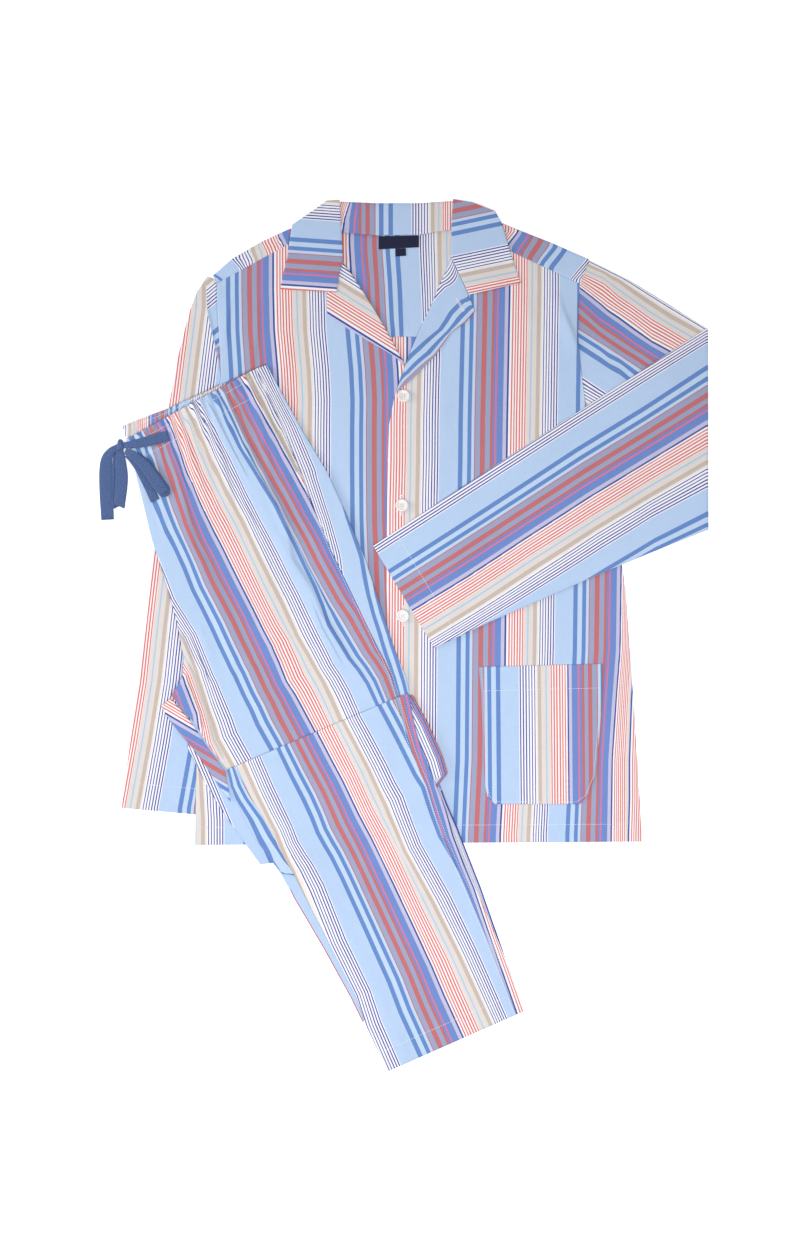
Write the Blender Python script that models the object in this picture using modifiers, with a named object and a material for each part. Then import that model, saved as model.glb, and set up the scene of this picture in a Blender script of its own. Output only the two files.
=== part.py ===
"""A man's pyjama set in multi-stripe cotton, laid out flat: a long-sleeved jacket with an open
collar, and drawstring trousers folded once across the leg and laid on the jacket's lower corner.

Metres, +Z up. The plan tables below are in millimetres from a datum on the garment itself:
x runs to the right from the button line, y runs up from the jacket's hem to its neck.
Every panel is a table of sections. A section joins a point on one edge of the panel to a point
on the other edge, and the panel is the surface that the sections sweep.
"""

import math
from collections import namedtuple

import bmesh
import bpy
import numpy as np

# ------------------------------------------------------------------ driving dimensions (mm)

PLAN_CENTRE = (15.4, 259.5)  # middle of the laid-out garments, seen from the datum

CLOTH = 1.0  # wall of one panel
LAY_GAP = 0.4  # air between two panels that lie on each other
SEAM_GAP = 0.3  # air between two panels that are sewn edge to edge
FLAT_SLEEVE = 1.8  # a sleeve pressed flat, its two walls together
COLLAR_ROLL = 3.6  # collar stand with the fall folded away behind it
LEG_LAYERS = 1.8  # the other leg's layers, pressed under the leg that shows
PLEAT_LAYERS = 5.0  # all that is hidden where the trousers are folded across

FRONT_LEVEL = CLOTH + LAY_GAP  # underside of the fronts, above the back
LAPEL_LEVEL = FRONT_LEVEL + CLOTH + LAY_GAP
OVERLAP_LIFT = CLOTH + LAY_GAP  # left front where it laps over the right front
SLEEVE_LIFT = FLAT_SLEEVE + LAY_GAP  # body where the right sleeve is tucked under it
FOREARM_LEVEL = LAPEL_LEVEL
LEAF_LEVEL = LAPEL_LEVEL + CLOTH + LAY_GAP  # collar leaf where it lies on the lapel
LEG_LEVEL = LEG_LAYERS + 0.6  # trouser panel above what carries the trousers

BUTTON_WIDTH, BUTTON_HEIGHT, BUTTON_HOLE = 16.0, 3.2, 1.9
TAPE_THICK = 1.6

# ------------------------------------------------------------------ plan tables (mm)

Section = namedtuple("Section", "left_x left_y right_x right_y")
Stretch = namedtuple("Stretch", "left_x left_y right_x right_y thick")
Point = namedtuple("Point", "x y")
TapePoint = namedtuple("TapePoint", "x y level width")


def sections(*rows):
    return [Section(*row) for row in rows]


# Edges that two pieces share.
NECK_SEAM = [Point(*p) for p in ((-75, 763), (-32, 759.5), (21, 760), (61, 766.5))]
ARMHOLE_RIGHT = [Point(*p) for p in ((-236, 708), (-231, 698), (-231, 679), (-229.5, 654),
                                     (-227.5, 616), (-226, 579), (-239, 522))]
ARMHOLE_LEFT = [Point(*p) for p in ((234, 728), (222.5, 699), (220, 668), (220, 633),
                                    (226, 572), (232, 529), (251, 495))]

# The yoke: its inside from the back seam up to the shoulder folds, then two strips that come
# over the shoulders to the front seams.
YOKE_ROWS = sections((-228, 633, 220, 633), (-229.7, 668, 220, 668), (-231.5, 699, 222, 699))
YOKE_TOP = [Point(*p) for p in ((-236, 708), (-212, 729), (-176, 750), (-139, 767), *NECK_SEAM,
                                (124, 774), (148, 764), (186, 749), (234, 728))]
YOKE_SEAM_RIGHT = [Point(*p) for p in ((-226, 702), (-201, 716), (-168, 735), (-140, 748))]
YOKE_SEAM_LEFT = [Point(*p) for p in ((130, 742.2), (158, 729), (185, 716.4), (222, 699))]

JACKET_BACK = sections(
    (-228, 632.6, 220, 632.6), (-226, 579, 225, 580), (-239, 522, 232, 529), (-246, 491, 251, 495),
    (-251, 354, 265, 422), (-254, 241, 279, 316), (-256, 114, 289, 179), (-258, -2, 300, 2))

FRONT_RIGHT = sections(
    (-231, 697.6, -142, 746.6), (-231, 691, -108, 738), (-231, 679, -74, 726), (-229, 654, -49, 690),
    (-227, 616, -20, 642), (-226, 579, 4, 596), (-239, 522, 14, 535), (-246, 491, 17, 491),
    (-251, 354, 18, 354), (-254, 241, 18, 241), (-256, 114, 18, 114), (-258, -2, 18, 0))
FRONT_LEFT = sections(
    (128, 742, 221.6, 698), (95, 739, 221, 682), (61, 731, 220, 668), (48, 700, 219.6, 648),
    (38, 675, 219.6, 633), (25, 648, 222, 601), (6, 601, 226, 572), (-10, 554, 232, 529),
    (-16, 522, 251, 495), (-19, 429, 265, 422), (-19, 316, 279, 316), (-16, 179, 289, 179),
    (-15, 0, 300, 2))

# Where the left front laps over the right one, from the crossing of the lapels to the hem.
OVERLAP = sections((4, 599, 6, 600), (-10, 554, 12, 554), (-16, 522, 14, 532), (-19, 429, 18, 429),
                   (-19, 241, 18, 241), (-15, 0, 18, 0))

# The facings turn back at the roll line and show as lapels: roll edge, outer edge.
FACING_RIGHT = sections(
    (-74, 724, -94, 694), (-65, 713, -92, 661), (-49, 689, -64, 648), (-34, 665, -39, 634),
    (-20, 641, -18, 621), (-9, 620, -7, 611), (-2, 607, -4, 604))
FACING_LEFT = sections(
    (62, 729, 76, 700), (48, 699, 91, 665), (38, 674, 80, 651), (25, 647, 61, 638),
    (12, 617, 42, 609), (2, 591, 15, 582), (-7, 565, -3.5, 566))

# Collar: the stand with the hidden fall under it (top, neck seam), and the two leaves.
COLLAR_STAND = sections(
    (-128, 776, -126, 769), (-105, 792, -102, 767.5), (-79, 801, -75, 763.4),
    (-32, 799, -32, 759.9), (21, 799, 21, 760.4), (64, 802, 61, 766.9), (88, 798, 90, 771.5),
    (112, 788, 115, 774.8))
LEAF_RIGHT = sections(
    (-94, 802, -78, 803), (-118, 785, -77, 784), (-137, 772, -76, 765), (-140, 754, -75, 748),
    (-143, 730, -74, 729), (-148, 712, -78, 712), (-152, 692, -82, 688))
LEAF_LEFT = sections(
    (64, 804, 88, 800), (63, 790, 116, 789), (62, 775, 124, 775), (62, 756, 129, 759),
    (61, 734, 134, 741), (70, 714, 141, 721), (84, 685, 148, 700))
LEAVES_LEAVE_STAND = 745  # y below which a leaf eases down onto the front

NECK_LABEL = sections((-29, 758, 21, 759), (-29, 742, 21, 744.5))
SIZE_TAB = sections((-8, 742.3, 4.5, 743), (-8, 733, 5, 734))

POCKET = sections(
    (96, 220, 250, 224), (99, 189, 250, 192), (101, 129, 247, 141), (104, 72, 242, 85),
    (107, 58, 232, 60), (116, 49, 222, 49))

# Right sleeve, straight down with its inner side tucked under the body: outer, inner edge.
SLEEVE_RIGHT = sections(
    (-239, 707, -236.6, 706), (-249, 689, -231.6, 698), (-258, 664, -231.6, 679),
    (-266, 633, -230, 654), (-274, 601, -228, 616), (-281, 568, -226.6, 579),
    (-288, 541, -240, 521.5), (-296, 479, -220, 476), (-308, 391, -208, 385),
    (-319, 279, -205, 269), (-329, 204, -205, 191), (-339, 129, -205, 116), (-350, 44, -205, 31))
SLEEVE_TUCK_ROW = 6  # from this section on, the right sleeve runs under the body

# Left sleeve: out to the fold at the elbow, then back across the front: top, bottom edge.
SLEEVE_LEFT_OUT = sections((285, 704, 298, 461), (335, 676, 341, 425), (378.5, 644, 376, 395))
SLEEVE_LEFT_BACK = sections(
    (378.5, 643, 376, 395), (298, 589, 316, 366), (210, 532, 255, 340), (122, 475, 182, 308),
    (35, 418, 108, 276), (-36, 371, 40, 244))

# Trousers. The left leg's front panel lies uppermost: centre-front edge, outseam. Its edge runs
# out to the front's crotch extension and back before the cross fold.
LEG_FRONT_UPPER = sections(
    (-344, 504, -182, 592), (-337, 482, -172, 569), (-324, 429, -150, 522), (-312, 379, -128, 466),
    (-296, 332, -109, 414), (-280, 276, -86, 360), (-272, 231, -62, 310), (-273.7, 207.5, -51, 287),
    (-287.5, 184, -40, 264), (-265, 159, -30, 243), (-253, 142, -22, 228), (-242.5, 125, -14, 210),
    (-218, 92, -6, 182))
LEG_BACK_UPPER = sections(
    (-181.6, 592.2, -169, 597), (-171.6, 569.2, -154, 569), (-149.6, 522.2, -124, 514),
    (-127.6, 466.2, -94, 464), (-108.6, 414.2, -69, 409), (-85.6, 360.2, -46, 354),
    (-61.6, 310.2, -28, 299), (-39.6, 264.2, -10, 244), (-21.2, 228.4, 4, 209),
    (-13.3, 210.2, 6.8, 198), (-5.2, 182.4, 9, 188))
# Below the cross fold: the front panel from inseam to outseam, with the back panel turned over
# on to the front along both.
LEG_FRONT_LOWER = sections(
    (-207.8, 96.4, -8, 181.2), (-206.8, 93.5, -7, 178.7), (-188.3, 58.8, 2.5, 148),
    (-172.7, 33.5, 12.5, 115), (-160.6, 12, 22.5, 89), (-152.5, -6.5, 30.5, 72),
    (-144.5, -21.5, 35, 56.5), (-135.7, -36, 40.7, 38), (-122.5, -63, 50.5, 11),
    (-89.6, -127, 80, -57), (-57.6, -190.6, 108.3, -125.3), (-43.8, -229.2, 122, -161),
    (-18, -285, 142.5, -214))
LEG_INSEAM_LOWER = sections(
    (-217.5, 92.2, -208.2, 96.2), (-216.5, 89.6, -207.2, 93.3), (-212.5, 71, -198.1, 75.9),
    (-206, 54, -188.7, 58.6), (-195, 29, -173.1, 33.3), (-182.5, 6, -161, 11.8),
    (-171, -9, -152.9, -6.7), (-162.5, -21, -144.9, -21.7), (-149, -37.5, -136.1, -36.2),
    (-135, -68, -122.9, -63.2), (-98, -131, -90, -127.2), (-64, -192.8, -58, -190.8),
    (-49.3, -223, -47.3, -222.3))
LEG_BACK_LOWER = sections(
    (-7.6, 181.4, 6.5, 187.5), (-6.6, 178.9, 8.5, 185.2), (2.9, 148.2, 15.5, 148),
    (12.9, 115.2, 24.5, 117), (22.9, 89.2, 35.5, 90), (30.9, 72.2, 43, 70),
    (35.4, 56.7, 50, 54), (41.1, 38.2, 56, 38), (50.9, 11.2, 64.5, 8),
    (66.2, -23.8, 78, -27), (80.4, -56.8, 92, -57), (108.7, -125.1, 118, -117.5),
    (122.4, -160.8, 134, -157), (142.9, -213.8, 152, -210))
WAIST_BACK = sections(
    (-349, 521, -344.5, 504.5), (-332, 528, -326, 512.5), (-289, 544, -296, 528),
    (-252, 560, -269, 543), (-222, 574, -238, 560), (-196, 586, -199, 582))
# The back panel's crotch extension beside the front's: its seam, its outer edge.
CROTCH_POINT = sections(
    (-289, 181, -300, 171), (-277.5, 168, -289, 152.5), (-266, 155, -269, 129),
    (-254.5, 138.5, -252.5, 107.5), (-243.5, 121, -236, 84), (-231.5, 105, -225, 67.5),
    (-220, 89, -213.5, 52.5))

# What is hidden under the leg that shows, from waist to hem: inseam side, outseam side, height.
LEG_HIDDEN = [Stretch(*row) for row in (
    (-342, 501, -171, 591, LEG_LAYERS), (-335, 479, -157, 563, LEG_LAYERS),
    (-321, 426, -127, 509, LEG_LAYERS), (-310, 378, -98, 462, LEG_LAYERS),
    (-294, 331, -73, 406, LEG_LAYERS), (-278, 276, -51, 352, LEG_LAYERS),
    (-270, 229, -32, 297, LEG_LAYERS), (-262, 178, -14, 242, LEG_LAYERS),
    (-266, 119, -2, 209, LEG_LAYERS), (-246, 79, 4, 185, LEG_LAYERS),
    (-244, 75.5, 13, 184, PLEAT_LAYERS), (-230, 51, 32, 149, PLEAT_LAYERS),
    (-209, 20, 50, 108, PLEAT_LAYERS), (-176, -26, 56, 87, PLEAT_LAYERS),
    (-160, -24, 46, 74, LEG_LAYERS), (-148, -42, 55, 50, LEG_LAYERS),
    (-131.5, -72.5, 68, 20, LEG_LAYERS),
    (-94, -134, 97, -54, LEG_LAYERS), (-59, -195, 124, -131, LEG_LAYERS),
    (-17, -281, 149.5, -209, LEG_LAYERS))]
PLEAT_ROWS = slice(10, 14)  # the rows of LEG_HIDDEN that are folded three times over
PLEAT_INSET = 40.0  # from the inseam side, how far in the fold reaches its full height
FOLD_DROP = 1.0  # how far the folded edge of the lower stretch turns down

# Gathers at the drawn waist, and the largest folds of the upper leg. A fold runs along the
# leg at a share of its width: at the waist, half way down and at the cross fold.
GATHER_COUNT, GATHER_HEIGHT, GATHER_REACH = 11, 1.5, 55.0
CASING_DEPTH, CASING_HEIGHT = 20.0, 0.5
Fold = namedtuple("Fold", "waist middle crossing height width")
UPPER_FOLDS = [Fold(0.64, 0.75, 0.90, 1.7, 7.0), Fold(0.32, 0.25, 0.40, 1.3, 8.0),
               Fold(0.86, 0.93, 0.97, 0.9, 6.0)]
LOWER_FOLDS = [Fold(0.06, 0.14, 0.16, 1.2, 8.0), Fold(0.92, 0.72, 0.80, 0.8, 11.0)]

# Drawstring: flat tape out of the casing's buttonhole to a bow. level is that of its underside.
KNOT = Point(-351.5, 496.5)
KNOT_SIZE = (10.0, 16.0, 7.6)
TAPE_LEAD = [TapePoint(*p) for p in (
    (-291, 508, 9.3, 13), (-304, 505, 8.8, 13), (-317, 501.5, 8.1, 12.5), (-330, 498.5, 7.6, 11),
    (-340, 497, 6.9, 9), (-345.9, 496.7, 5.2, 8))]
TAPE_LOOP_LEFT = [TapePoint(*p) for p in (
    (-352.2, 487.6, 4.6, 7), (-350.2, 478, 5.6, 10), (-348, 460, 6.2, 13), (-349.6, 445, 6.4, 13),
    (-351.4, 432, 6.4, 13), (-352.4, 424.5, 5.6, 13), (-352.8, 421.3, 3.5, 13),
    (-352.4, 424.5, 1.3, 13), (-351.4, 432, 0.4, 13), (-349.6, 445, 0.3, 13), (-348, 460, 0.4, 13),
    (-350.2, 478, 1.1, 10), (-352.2, 487.6, 1.9, 7))]
TAPE_END_LEFT = [TapePoint(*p) for p in (
    (-357.9, 493, 3.0, 6), (-362.6, 489, 2.6, 7), (-367, 480, 1.2, 11), (-367.8, 466, 0.3, 13),
    (-367.4, 440, 0.3, 13), (-366.6, 404, 0.3, 13))]
TAPE_LOOP_RIGHT = [TapePoint(*p) for p in (
    (-345.0, 489.2, 6.6, 6), (-336, 484.5, 10.6, 8), (-323, 474, 12.0, 12), (-310, 457, 12.2, 13),
    (-302, 445.5, 12.2, 13), (-297.4, 439.6, 12.0, 13), (-296, 437.8, 10.9, 13),
    (-297.4, 439.6, 9.9, 13), (-302, 445.5, 9.5, 13), (-310, 457, 9.4, 13), (-323, 474, 9.2, 12),
    (-336, 484.5, 8.0, 8), (-345.0, 489.2, 4.2, 6))]
TAPE_END_RIGHT = [TapePoint(*p) for p in (
    (-327, 468, 6.7, 13), (-321, 456, 6.9, 13), (-314, 442, 7.1, 13), (-307.5, 427.5, 7.4, 13))]

BUTTON_PLACES = [Point(2.2, 558.6), Point(0, 422), Point(1, 284)]

# ------------------------------------------------------------------ surfaces


def to_metres(x, y, z):
    """Plan millimetres to metres about the origin."""
    return np.stack([x - PLAN_CENTRE[0], y - PLAN_CENTRE[1], z], axis=-1) / 1000


def ease(t):
    t = np.clip(t, 0, 1)
    return t * t * (3 - 2 * t)


def edges(table):
    rows = np.array([row[:4] for row in table], float)
    return rows[:, :2], rows[:, 2:]


def outline(table):
    """The closed outline of a table of sections: down one edge and up the other."""
    left, right = edges(table)
    return np.concatenate([left, right[::-1]])


def along(values, places):
    """Rows of a table read at fractional row numbers, straight between rows."""
    rows = np.arange(len(values))
    return np.stack([np.interp(places, rows, column) for column in values.T], axis=-1)


def row_places(left, right, step):
    """Fractional row numbers: each table row, with more between where they are over step apart."""
    spans = np.maximum(np.linalg.norm(np.diff(left, axis=0), axis=1),
                       np.linalg.norm(np.diff(right, axis=0), axis=1))
    counts = np.maximum(1, np.ceil(spans / step)).astype(int)
    return np.append(np.concatenate([i + np.arange(n) / n for i, n in enumerate(counts)]),
                     len(counts))


def plan_grid(table, step, shares):
    """x and y on a grid: rows along the panel, and columns at shares of each section."""
    left, right = edges(table)
    places = row_places(left, right, step)
    left, right = along(left, places), along(right, places)
    grid = left[:, None] + (right - left)[:, None] * np.asarray(shares)[None, :, None]
    return grid[..., 0], grid[..., 1]


def even(count):
    return np.linspace(0, 1, count + 1)


def distance_outside(x, y, polygon):
    """Distance from each point to a closed outline, 0 inside it."""
    start, end = polygon, np.roll(polygon, -1, axis=0)
    px, py = x[..., None], y[..., None]
    run = end - start
    share = ((px - start[:, 0]) * run[:, 0] + (py - start[:, 1]) * run[:, 1]) / (run**2).sum(axis=1)
    share = np.clip(share, 0, 1)
    gap = np.hypot(px - start[:, 0] - share * run[:, 0], py - start[:, 1] - share * run[:, 1])
    rises = np.where(run[:, 1] == 0, 1e-9, run[:, 1])
    crossing = (start[:, 1] > py) != (end[:, 1] > py)
    reach = start[:, 0] + (py - start[:, 1]) / rises * run[:, 0]
    inside = (crossing & (px < reach)).sum(axis=-1) % 2 == 1
    return np.where(inside, 0, gap.min(axis=-1))


def cover(x, y, polygon, margin, reach):
    """How far a layer holds up what lies over it: 1 on it and for margin round it, easing to 0
    at reach from it."""
    return 1 - ease((distance_outside(x, y, polygon) - margin) / (reach - margin))


# ------------------------------------------------------------------ heights of the layers (mm)


def over_sleeve(x, y, margin=24, reach=90):
    """Share of the lift that the tucked right sleeve gives the body."""
    return cover(x, y, outline(SLEEVE_RIGHT[SLEEVE_TUCK_ROW:]), margin, reach)


def over_placket(x, y, margin=16, reach=50):
    """Share of the lift that the right front gives what laps over it at the buttons."""
    return cover(x, y, outline(OVERLAP), margin, reach)


def left_front_level(x, y):
    return FRONT_LEVEL + OVERLAP_LIFT * over_placket(x, y)


def trouser_support(x, y, margin=22, reach=105):
    """Height of what carries the trousers: the sleeve, the body on it, or the floor."""
    sleeve = (FLAT_SLEEVE + LAY_GAP) * cover(x, y, outline(SLEEVE_RIGHT[5:]), margin, reach)
    body = cover(x, y, outline(JACKET_BACK[1:]), margin, reach)
    tucked = SLEEVE_LIFT * over_sleeve(x, y, margin, reach)
    lapped = OVERLAP_LIFT * over_placket(x, y, margin, reach)
    return np.maximum(sleeve, body * (LAPEL_LEVEL + tucked + lapped))


def pleat_core():
    """Outline of the part of the cross fold that has its full height."""
    left, right = edges(LEG_HIDDEN[PLEAT_ROWS])
    unit = (right - left) / np.linalg.norm(right - left, axis=1, keepdims=True)
    return np.concatenate([left + unit * PLEAT_INSET, right[::-1]])


def pleat_lift(x, y):
    """What the cross fold adds under the lower stretch of the leg."""
    return (PLEAT_LAYERS - LEG_LAYERS) * cover(x, y, pleat_core(), 5, 48)


def fold_height(folds, shape):
    """Ridges along a leg panel, lower where they meet the cross fold. A ridge is a bell across
    the leg, and its place across it follows a curve through three shares of the width."""
    rows, columns = shape
    down = np.linspace(0, 1, rows)[:, None]
    share = np.linspace(0, 1, columns)[None]
    height = np.zeros(shape)
    for fold in folds:
        middle = (1 - down) ** 2 * fold.waist + down**2 * fold.crossing
        place = middle + 2 * down * (1 - down) * (2 * fold.middle - (fold.waist + fold.crossing) / 2)
        place = np.clip(place, 0, 1)
        height += fold.height * np.exp(-(((share - place) * 200 / fold.width) ** 2))
    return height


def gathers(distance_down, share, height):
    """Waves across the drawn waist, dying away down the leg."""
    wave = 0.5 - 0.5 * np.cos(2 * math.pi * GATHER_COUNT * share + 0.8 * np.sin(9 * share))
    return height * wave * np.exp(-distance_down / GATHER_REACH)


# ------------------------------------------------------------------ objects

part = bpy.data.collections.new("PyjamaSet")
cutters = bpy.data.collections.new("Cutters")


def clear_scene():
    for item in list(bpy.data.objects):
        bpy.data.objects.remove(item, do_unlink=True)
    bpy.context.scene.collection.children.link(part)
    bpy.context.scene.collection.children.link(cutters)


def finish(name, red, green, blue, roughness):
    """A Principled material of one colour."""
    material = bpy.data.materials.new(name)
    material.use_nodes = True
    shader = material.node_tree.nodes["Principled BSDF"]
    shader.inputs["Base Color"].default_value = (red, green, blue, 1)
    shader.inputs["Roughness"].default_value = roughness
    material.diffuse_color = (red, green, blue, 1)
    return material


def cloth_finish(name):
    return finish(name, 0.48, 0.62, 0.84, 0.85)


def link(obj, material, collection=part):
    obj.data.materials.append(material)
    collection.objects.link(obj)
    return obj


def faces_of(rows, columns, kept=None):
    """Quads of a grid, all of them or those that kept marks."""
    corner = (np.arange(rows - 1)[:, None] * columns + np.arange(columns - 1)[None]).ravel()
    quads = np.stack([corner, corner + 1, corner + columns + 1, corner + columns], axis=-1)
    return quads if kept is None else quads[kept.ravel()]


def mesh_object(name, points, quads, material):
    mesh = bpy.data.meshes.new(name)
    mesh.from_pydata(points.reshape(-1, 3).tolist(), [], quads.tolist())
    loose = bmesh.new()
    loose.from_mesh(mesh)
    bmesh.ops.delete(loose, geom=[v for v in loose.verts if not v.link_faces], context="VERTS")
    loose.to_mesh(mesh)
    loose.free()
    return link(bpy.data.objects.new(name, mesh), material)


def facing_up(points, quads):
    """The quads turned over where, taken together, they face down."""
    a, b, c, d = points.reshape(-1, 3)[quads.T]
    return quads if np.cross(c - a, d - b)[:, 2].sum() > 0 else quads[:, ::-1]


def panel(name, x, y, underside, material, wall=CLOTH, kept=None):
    """One cloth panel: a surface at its underside, thickened upwards to its wall."""
    points = to_metres(x, y, np.broadcast_to(underside, x.shape))
    quads = facing_up(points, faces_of(*x.shape, kept))
    obj = mesh_object(name, points, quads, material)
    solid = obj.modifiers.new("Wall", "SOLIDIFY")
    solid.thickness = wall / 1000
    solid.offset = 1
    return obj


def folded_panel(name, x, y, middle, wall, material, kept=None):
    """Cloth that folds over itself: a surface at mid wall, thickened both ways."""
    points = to_metres(x, y, middle)
    obj = mesh_object(name, points, facing_up(points, faces_of(*x.shape, kept)), material)
    solid = obj.modifiers.new("Wall", "SOLIDIFY")
    solid.thickness = wall / 1000
    solid.offset = 0
    return obj


def half_turn(x, y, low, high, outward_x, outward_y, steps=3):
    """Rows round a fold: a half circle from level low to level high, bulging outwards."""
    angles = np.linspace(-math.pi / 2, math.pi / 2, steps + 2)[1:-1, None]
    radius = (high - low) / 2
    bulge = radius * np.cos(angles)
    level = (high + low) / 2 + radius * np.sin(angles)
    return x[None] + outward_x * bulge, y[None] + outward_y * bulge, level + 0 * x[None]


# ------------------------------------------------------------------ jacket


def add_back():
    x, y = plan_grid(JACKET_BACK, 50, (0, .05, .09, .13, .17, .21, .25, .3, .45, .7, 1))
    panel("jacket_back", x, y, SLEEVE_LIFT * over_sleeve(x, y), cloth_finish("back"))


def add_yoke():
    """One piece: the inside of the yoke, folded at the shoulders into two front strips."""
    left, right = edges(YOKE_ROWS)
    top = np.array(YOKE_TOP, float)
    shares = (top[:, 0] - top[0, 0]) / (top[-1, 0] - top[0, 0])
    inside = left[:, None] + (right - left)[:, None] * shares[None, :, None]
    low, high = CLOTH / 2, FRONT_LEVEL + CLOTH / 2
    fold_x, fold_y, fold_z = half_turn(top[:, 0], top[:, 1], low, high, 0, 1)
    seam = top.copy()
    seam[:4], seam[-4:] = YOKE_SEAM_RIGHT, YOKE_SEAM_LEFT
    seam[[0, -1]] += [[0, SEAM_GAP], [0, SEAM_GAP]]
    x = np.concatenate([inside[..., 0], top[None, :, 0], fold_x, top[None, :, 0], seam[None, :, 0]])
    y = np.concatenate([inside[..., 1], top[None, :, 1], fold_y, top[None, :, 1],
                        seam[None, :, 1] + SEAM_GAP])
    rows = len(inside) + 1
    z = np.concatenate([np.full((rows, len(top)), low), fold_z, np.full((2, len(top)), high)])
    kept = np.ones((len(x) - 1, len(top) - 1), bool)
    kept[rows - 1:, 3:-3] = False
    folded_panel("jacket_yoke", x, y, z, CLOTH, cloth_finish("yoke"), kept)


def add_fronts():
    x, y = plan_grid(FRONT_RIGHT, 50, (0, .08, .16, .24, .32, .4, .48, .6, .8, 1))
    underside = FRONT_LEVEL + SLEEVE_LIFT * over_sleeve(x, y)
    panel("jacket_front_right", x, y, underside, cloth_finish("front right"))
    x, y = plan_grid(FRONT_LEFT, 42, (0, .05, .1, .15, .2, .28, .4, .6, .8, 1))
    panel("jacket_front_left", x, y, left_front_level(x, y), cloth_finish("front left"))


def add_facings():
    x, y = plan_grid(FACING_RIGHT, 20, even(3))
    panel("jacket_facing_right", x, y, LAPEL_LEVEL, cloth_finish("facing right"))
    x, y = plan_grid(FACING_LEFT, 20, even(3))
    underside = left_front_level(x, y) + CLOTH + LAY_GAP
    panel("jacket_facing_left", x, y, underside, cloth_finish("facing left"))


def add_collar():
    x, y = plan_grid(COLLAR_STAND, 30, even(3))
    panel("collar_stand", x, y, 0, cloth_finish("collar stand"), COLLAR_ROLL)
    for name, table, outer_first in (("collar_leaf_right", LEAF_RIGHT, True),
                                     ("collar_leaf_left", LEAF_LEFT, False)):
        x, y = plan_grid(table, 20, even(5))
        outward = even(5)[::-1] if outer_first else even(5)
        settle = ease((LEAVES_LEAVE_STAND - y) / 30) * ease((outward[None] - 0.4) / 0.6)
        level = LEAF_LEVEL - (CLOTH + LAY_GAP) * settle
        panel(name, x, y, level, cloth_finish(name.replace("_", " ")))


def add_labels():
    x, y = plan_grid(NECK_LABEL, 60, even(4))
    navy = finish("label", 0.01, 0.015, 0.06, 0.8)
    panel("neck_label", x, y, CLOTH + SEAM_GAP, navy, 0.8)
    x, y = plan_grid(SIZE_TAB, 60, even(2))
    panel("size_tab", x, y, CLOTH + SEAM_GAP, navy, 0.8)


def add_pocket():
    x, y = plan_grid(POCKET, 35, even(6))
    panel("jacket_pocket", x, y, FRONT_LEVEL + CLOTH + SEAM_GAP, cloth_finish("pocket"))


def add_right_sleeve():
    x, y = plan_grid(SLEEVE_RIGHT, 45, even(5))
    panel("sleeve_right", x, y, 0, cloth_finish("sleeve right"), FLAT_SLEEVE)


def add_left_sleeve():
    """From the armhole out to the elbow, round the fold, and back over the front."""
    shares = even(len(ARMHOLE_LEFT) - 1)
    armhole = np.array(ARMHOLE_LEFT, float) + (SEAM_GAP + 0.2, 0)
    out_x, out_y = plan_grid(SLEEVE_LEFT_OUT, 40, shares)
    back_x, back_y = plan_grid(SLEEVE_LEFT_BACK, 34, shares)
    low = FLAT_SLEEVE / 2
    back_z = (FOREARM_LEVEL + FLAT_SLEEVE / 2
              + OVERLAP_LIFT * over_placket(back_x, back_y, 40, 95))
    fold = half_turn(back_x[0], back_y[0], low, back_z[0, 0], 1, 0)
    x = np.concatenate([armhole[None, :, 0], out_x, fold[0], back_x])
    y = np.concatenate([armhole[None, :, 1], out_y, fold[1], back_y])
    z = np.concatenate([np.full((1 + len(out_x), len(shares)), low), fold[2], back_z])
    folded_panel("sleeve_left", x, y, z, FLAT_SLEEVE, cloth_finish("sleeve left"))


def add_buttons():
    """Four-hole buttons: a turned rim and dish, with the holes cut through."""
    pearl = finish("button", 0.86, 0.84, 0.8, 0.25)
    radius, height = BUTTON_WIDTH / 2000, BUTTON_HEIGHT / 1000
    profile = ((0, 0.75 * height), (0.52 * radius, 0.78 * height), (0.68 * radius, height),
               (0.88 * radius, 0.96 * height), (radius, 0.62 * height), (0.94 * radius, 0.2 * height),
               (0.8 * radius, 0), (0, 0))
    for number, place in enumerate(BUTTON_PLACES, 1):
        x, y = np.array([[place.x]], float), np.array([[place.y]], float)
        level = left_front_level(x, y)[0, 0] + CLOTH + SEAM_GAP
        mesh = bpy.data.meshes.new("button profile")
        mesh.from_pydata([(r, 0, z) for r, z in profile], [(i, i + 1) for i in range(len(profile) - 1)], [])
        button = link(bpy.data.objects.new(f"button_{number}", mesh), pearl)
        button.location = to_metres(place.x, place.y, level)
        turn = button.modifiers.new("Turn", "SCREW")
        turn.steps = turn.render_steps = 24
        turn.use_merge_vertices = True
        turn.merge_threshold = 0.00001
        for corner in range(4):
            angle = math.pi / 4 + corner * math.pi / 2
            offset = (2.0 * math.cos(angle) / 1000, 2.0 * math.sin(angle) / 1000, height / 2)
            add_button_hole(button, f"button_{number}_hole_{corner + 1}", offset)


def add_button_hole(button, name, offset):
    """A cutter for one hole, longer than the button is high."""
    mesh = bpy.data.meshes.new(name)
    drill = bmesh.new()
    bmesh.ops.create_cone(drill, cap_ends=True, segments=10, radius1=BUTTON_HOLE / 2000,
                          radius2=BUTTON_HOLE / 2000, depth=0.008)
    drill.to_mesh(mesh)
    drill.free()
    cutter = bpy.data.objects.new(name, mesh)
    cutters.objects.link(cutter)
    cutter.location = np.add(button.location, offset)
    cutter.hide_render = True
    cutter.display_type = "WIRE"
    hole = button.modifiers.new(name, "BOOLEAN")
    hole.operation = "DIFFERENCE"
    hole.object = cutter


# ------------------------------------------------------------------ trousers


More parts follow.
